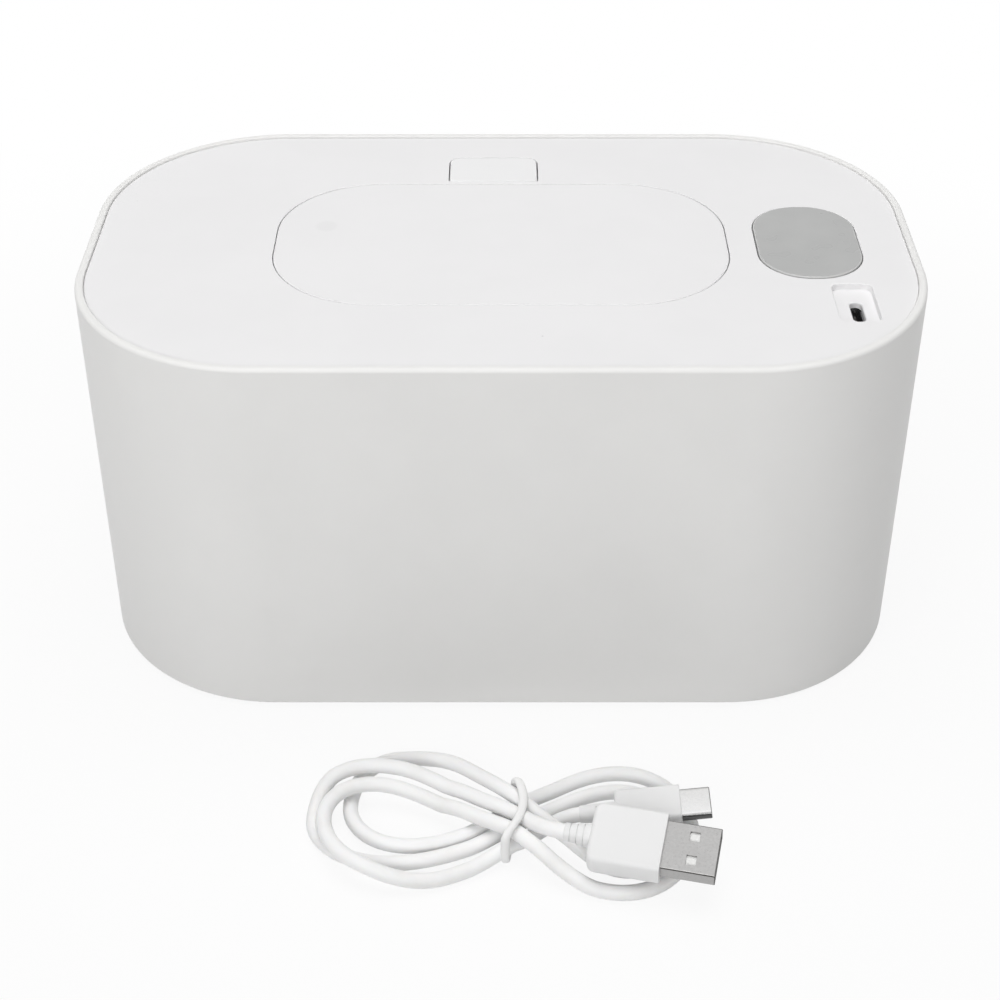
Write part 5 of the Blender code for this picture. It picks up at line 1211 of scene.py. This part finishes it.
def make_button():
    """The release button: softened cap, two hooked side walls and the latch wedge."""
    low = lid_top - 0.0018
    body = stepped((button_plan, low), *rounded_top(button_plan, lid_top, 0.00036, 4))
    inside, skirt = low + 0.0009, lid_top - 0.0042
    front, back = button_y - button_room_half + button_gap, button_y + button_room_half - button_gap
    tools = []
    for side in (-1, 1):
        outer = button_x + side * button_width / 2
        left, right = sorted((outer - side * 0.0012, outer))
        wall = box((left, front, skirt), (right, back, inside))
        left, right = sorted((outer - side * 0.0012, outer + side * 0.0007))
        tools.append(added(wall, box((left, front, skirt), (right, back, skin_bottom - seat_gap))))
    def slope(height):
        return latch_window_back - seat_gap + height - latch_top
    face, tip = latch_front + 0.0012 + 0.0020 + seat_gap, lid_top - 0.0079
    tools.append(side_prism([(face, tip), (slope(tip), tip), (slope(inside), inside), (face, inside)],
                            button_x - 0.0022, button_x + 0.0022))
    piece("open_button", added(body, *tools), "button", "button", ["release_button"])
    for side, name in ((-1, "left"), (1, "right")):
        x, clear = button_x + side * button_spring_x, seat_gap + button_wire
        line = coil_line(Vector((x, button_y, button_floor + clear)), Vector((x, button_y, low - clear)),
                         Vector((0.0017, 0, 0)), Vector((0, 0.0017, 0)), 4, 20)
        coil = piece(f"button_coil_{name}", swept(line, button_wire, 8, "steel"), "steel", "lid",
                     [f"button_spring_{name}"], sharp=60)
        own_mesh(coil)


def make_window_and_socket():
    """The grey display window, and the shell, tongue and contacts of the power socket."""
    top = lid_top + 0.0003
    body = stepped((window_plan, top - 0.0016), *rounded_top(window_plan, top, 0.00035))
    piece("display_lens", body, "window", "lid", ["display_window"])
    outer = Plan(socket_width, socket_length, socket_width / 2, socket_x, socket_y, steps=10)
    inner = outer.grown(-socket_wall)
    floor, rim = lid_top - 0.0118 + seat_gap, recess_floor - recess_wall - seat_gap
    closed = floor + socket_width / 2
    shell = stepped((inner, closed), (inner, rim), (outer, rim), (outer, floor))
    piece("socket_can", shell, "steel", "lid", ["socket_shell"])
    tongue = Plan(0.0008, 0.0062, 0.0002, socket_x, socket_y, steps=3)
    body = stepped((tongue, closed + seat_gap), (tongue, rim - 0.0014), (tongue.grown(-0.00015), rim - 0.0012))
    piece("socket_contact_tongue", body, "black", "lid", ["socket_tongue"])
    strip = box((-0.00003, -0.00012, 0), (0.00003, 0.00012, 0.0028))
    spots = [(socket_x + side * 0.00042, socket_y + (i - 5.5) * 0.0005, closed + 0.0006)
             for i in range(12) for side in (-1, 1)]
    strips = copies(strip, spots, "gold")
    piece("socket_contacts", strips, "gold", "lid")


def pan_screw(shank, shank_length, head, head_height):
    """A pan head screw driven upwards from its seat at zero, with a cross slot."""
    profile = [(head * 0.62, -head_height), (head * 0.86, -head_height * 0.88), (head * 0.97, -head_height * 0.6),
               (head, -head_height * 0.3), (head, 0), (shank, 0), (shank, shank_length - shank),
               (shank / 3, shank_length)]
    arm, blade = head * 0.55, head * 0.13
    cross = added(box((-arm, -blade, -head_height - past), (arm, blade, -head_height * 0.45)),
                  box((-blade, -arm, -head_height - past), (blade, arm, -head_height * 0.45)))
    return cut(turned(profile, steps=20), cross)


def make_lid_underside():
    """The lid's base with its window, the seal round it, the heater plate and their screws."""
    bosses, plates = boss_places(), plate_screw_places()
    edge = [(LID_PLAN.grown(-0.0003), base_bottom), (LID_PLAN, base_bottom + 0.0003), (LID_PLAN, base_top - 0.0001),
            (LID_PLAN.grown(-0.0001), base_top)]
    lip = LID_PLAN.grown(-lid_wall - seat_gap)
    body = added(stepped(*edge), ring_body(lip, lip.grown(-0.0014), base_top - 0.0011, base_top + 0.0030),
                 rods(plates, plate_post, base_top - 0.0011, base_top + 0.0050))
    body = cut(body,
               stepped((heater_window.grown(0.0004), base_bottom - 0.00001), (heater_window, base_bottom + 0.0004),
                       (heater_window, base_top + past)),
               rods(bosses, boss_bore, base_bottom - past, base_top + past, 20),
               rods(bosses, 0.0028, base_bottom - past, base_bottom + head_depth, 24),
               rods(plates, plate_bore, base_bottom - past, base_top + 0.0040, 20))
    piece("lid_underside", body, "inner", "lid", ["lid_base"])
    seal = [(-into, gasket_top - down) for into, down in (
        (0.0002, 0), (0, 0.0003), (0, 0.0012), (0.0004, 0.0016), (0.0009, 0.0014), (0.0014, 0.0014), (0.0019, 0.0016),
        (0.0023, 0.0012), (0.0023, 0.0003), (0.0021, 0))]
    piece("lid_rim_seal", round_moulding(seal, LID_PLAN, "silicone"), "silicone", "lid", ["lid_gasket"])
    plate = ring_body(heater_window.grown(0.0070), throat_outer.grown(seat_gap), plate_bottom, plate_bottom + 0.0012)
    holes = rods(plates, plate_bore, plate_bottom - past, plate_bottom + 0.002, 20)
    piece("heater_plate_sheet", cut(plate, holes), "aluminium", "lid", ["heater_plate"])
    seat = base_bottom + head_depth - seat_gap
    screws = copies(pan_screw(0.0012, 0.0099, 0.0025, 0.0013), [(x, y, seat) for x, y in bosses], "steel",
                    [(0, 0, 0.7 * i) for i in range(6)])
    piece("lid_screws", screws, "steel", "lid", [f"lid_screw_{n}" for n in range(1, 7)])
    screws = copies(pan_screw(0.0010, 0.0050, 0.0021, 0.0012), [(x, y, plate_bottom - seat_gap) for x, y in plates],
                    "steel", [(0, 0, 0.5 + 0.9 * i) for i in range(4)])
    piece("heater_screws", screws, "steel", "lid", [f"heater_screw_{n}" for n in range(1, 5)])


def make_dispenser():
    """The silicone membrane with its beaded slit, and the ring that clamps it."""
    fitted = throat_inner.grown(-seat_gap)
    slit = Plan(slit_length, slit_width, slit_width / 2)
    low, top = membrane_bottom, membrane_top
    body = stepped((fitted.grown(-0.0003), low), (fitted, low + 0.0003), (fitted, top - 0.0003),
                   (fitted.grown(-0.0003), top), (slit.grown(0.0022), top), (slit.grown(0.0018), top + 0.00025),
                   (slit.grown(0.0006), top + 0.00025), (slit.grown(0.0001), top - 0.0001), (slit, top - 0.0005),
                   (slit, low + 0.0002), (slit.grown(0.0002), low), closed=True)
    piece("slit_membrane", body, "silicone", "lid", ["wipe_membrane"])
    low = membrane_top + seat_gap
    ring = ring_body(fitted, fitted.grown(-0.0024), low, low + 0.0016, 0.00035)
    piece("membrane_clamp_ring", ring, "inner", "lid", ["membrane_ring"])


def make_latch_coil():
    """The small spring behind the latch."""
    stud, wall = latch_front + 0.0074, button_y + button_depth / 2 + button_back_seam
    clear, middle = seat_gap + latch_wire, (latch_top + latch_bottom) / 2
    line = coil_line(Vector((button_x, stud + clear, middle)), Vector((button_x, wall - clear - latch_travel, middle)),
                     Vector((latch_coil_radius, 0, 0)), Vector((0, 0, latch_coil_radius)), 4, 16)
    piece("latch_coil", swept(line, latch_wire, 8, "steel"), "steel", "latch", ["latch_spring"], sharp=60)


make_lid_shell()
make_flap()
make_hinge()
make_button()
make_window_and_socket()
make_lid_underside()
make_dispenser()
make_latch_coil()

# -------- solids that keep their own shape
KEPT = {
    "latch_slider": "grey", "heater_film": "film", "insulation_pad": "foam", "thermistor": "epoxy",
    "thermal_fuse": "fuse", "heater_lead_red": "red", "heater_lead_black": "black", "control_chip": "black",
    "lead_connector": "ivory", "display_diffuser": "diffuser", "display_module": "segments",
    "control_board": "board", "power_inductor": "ferrite", "board_screw_1": "steel", "board_screw_2": "steel",
    "board_screw_3": "steel",
}
for node, finish in KEPT.items():
    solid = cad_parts[node].data
    solid.materials.clear()
    solid.materials.append(finishes[finish])
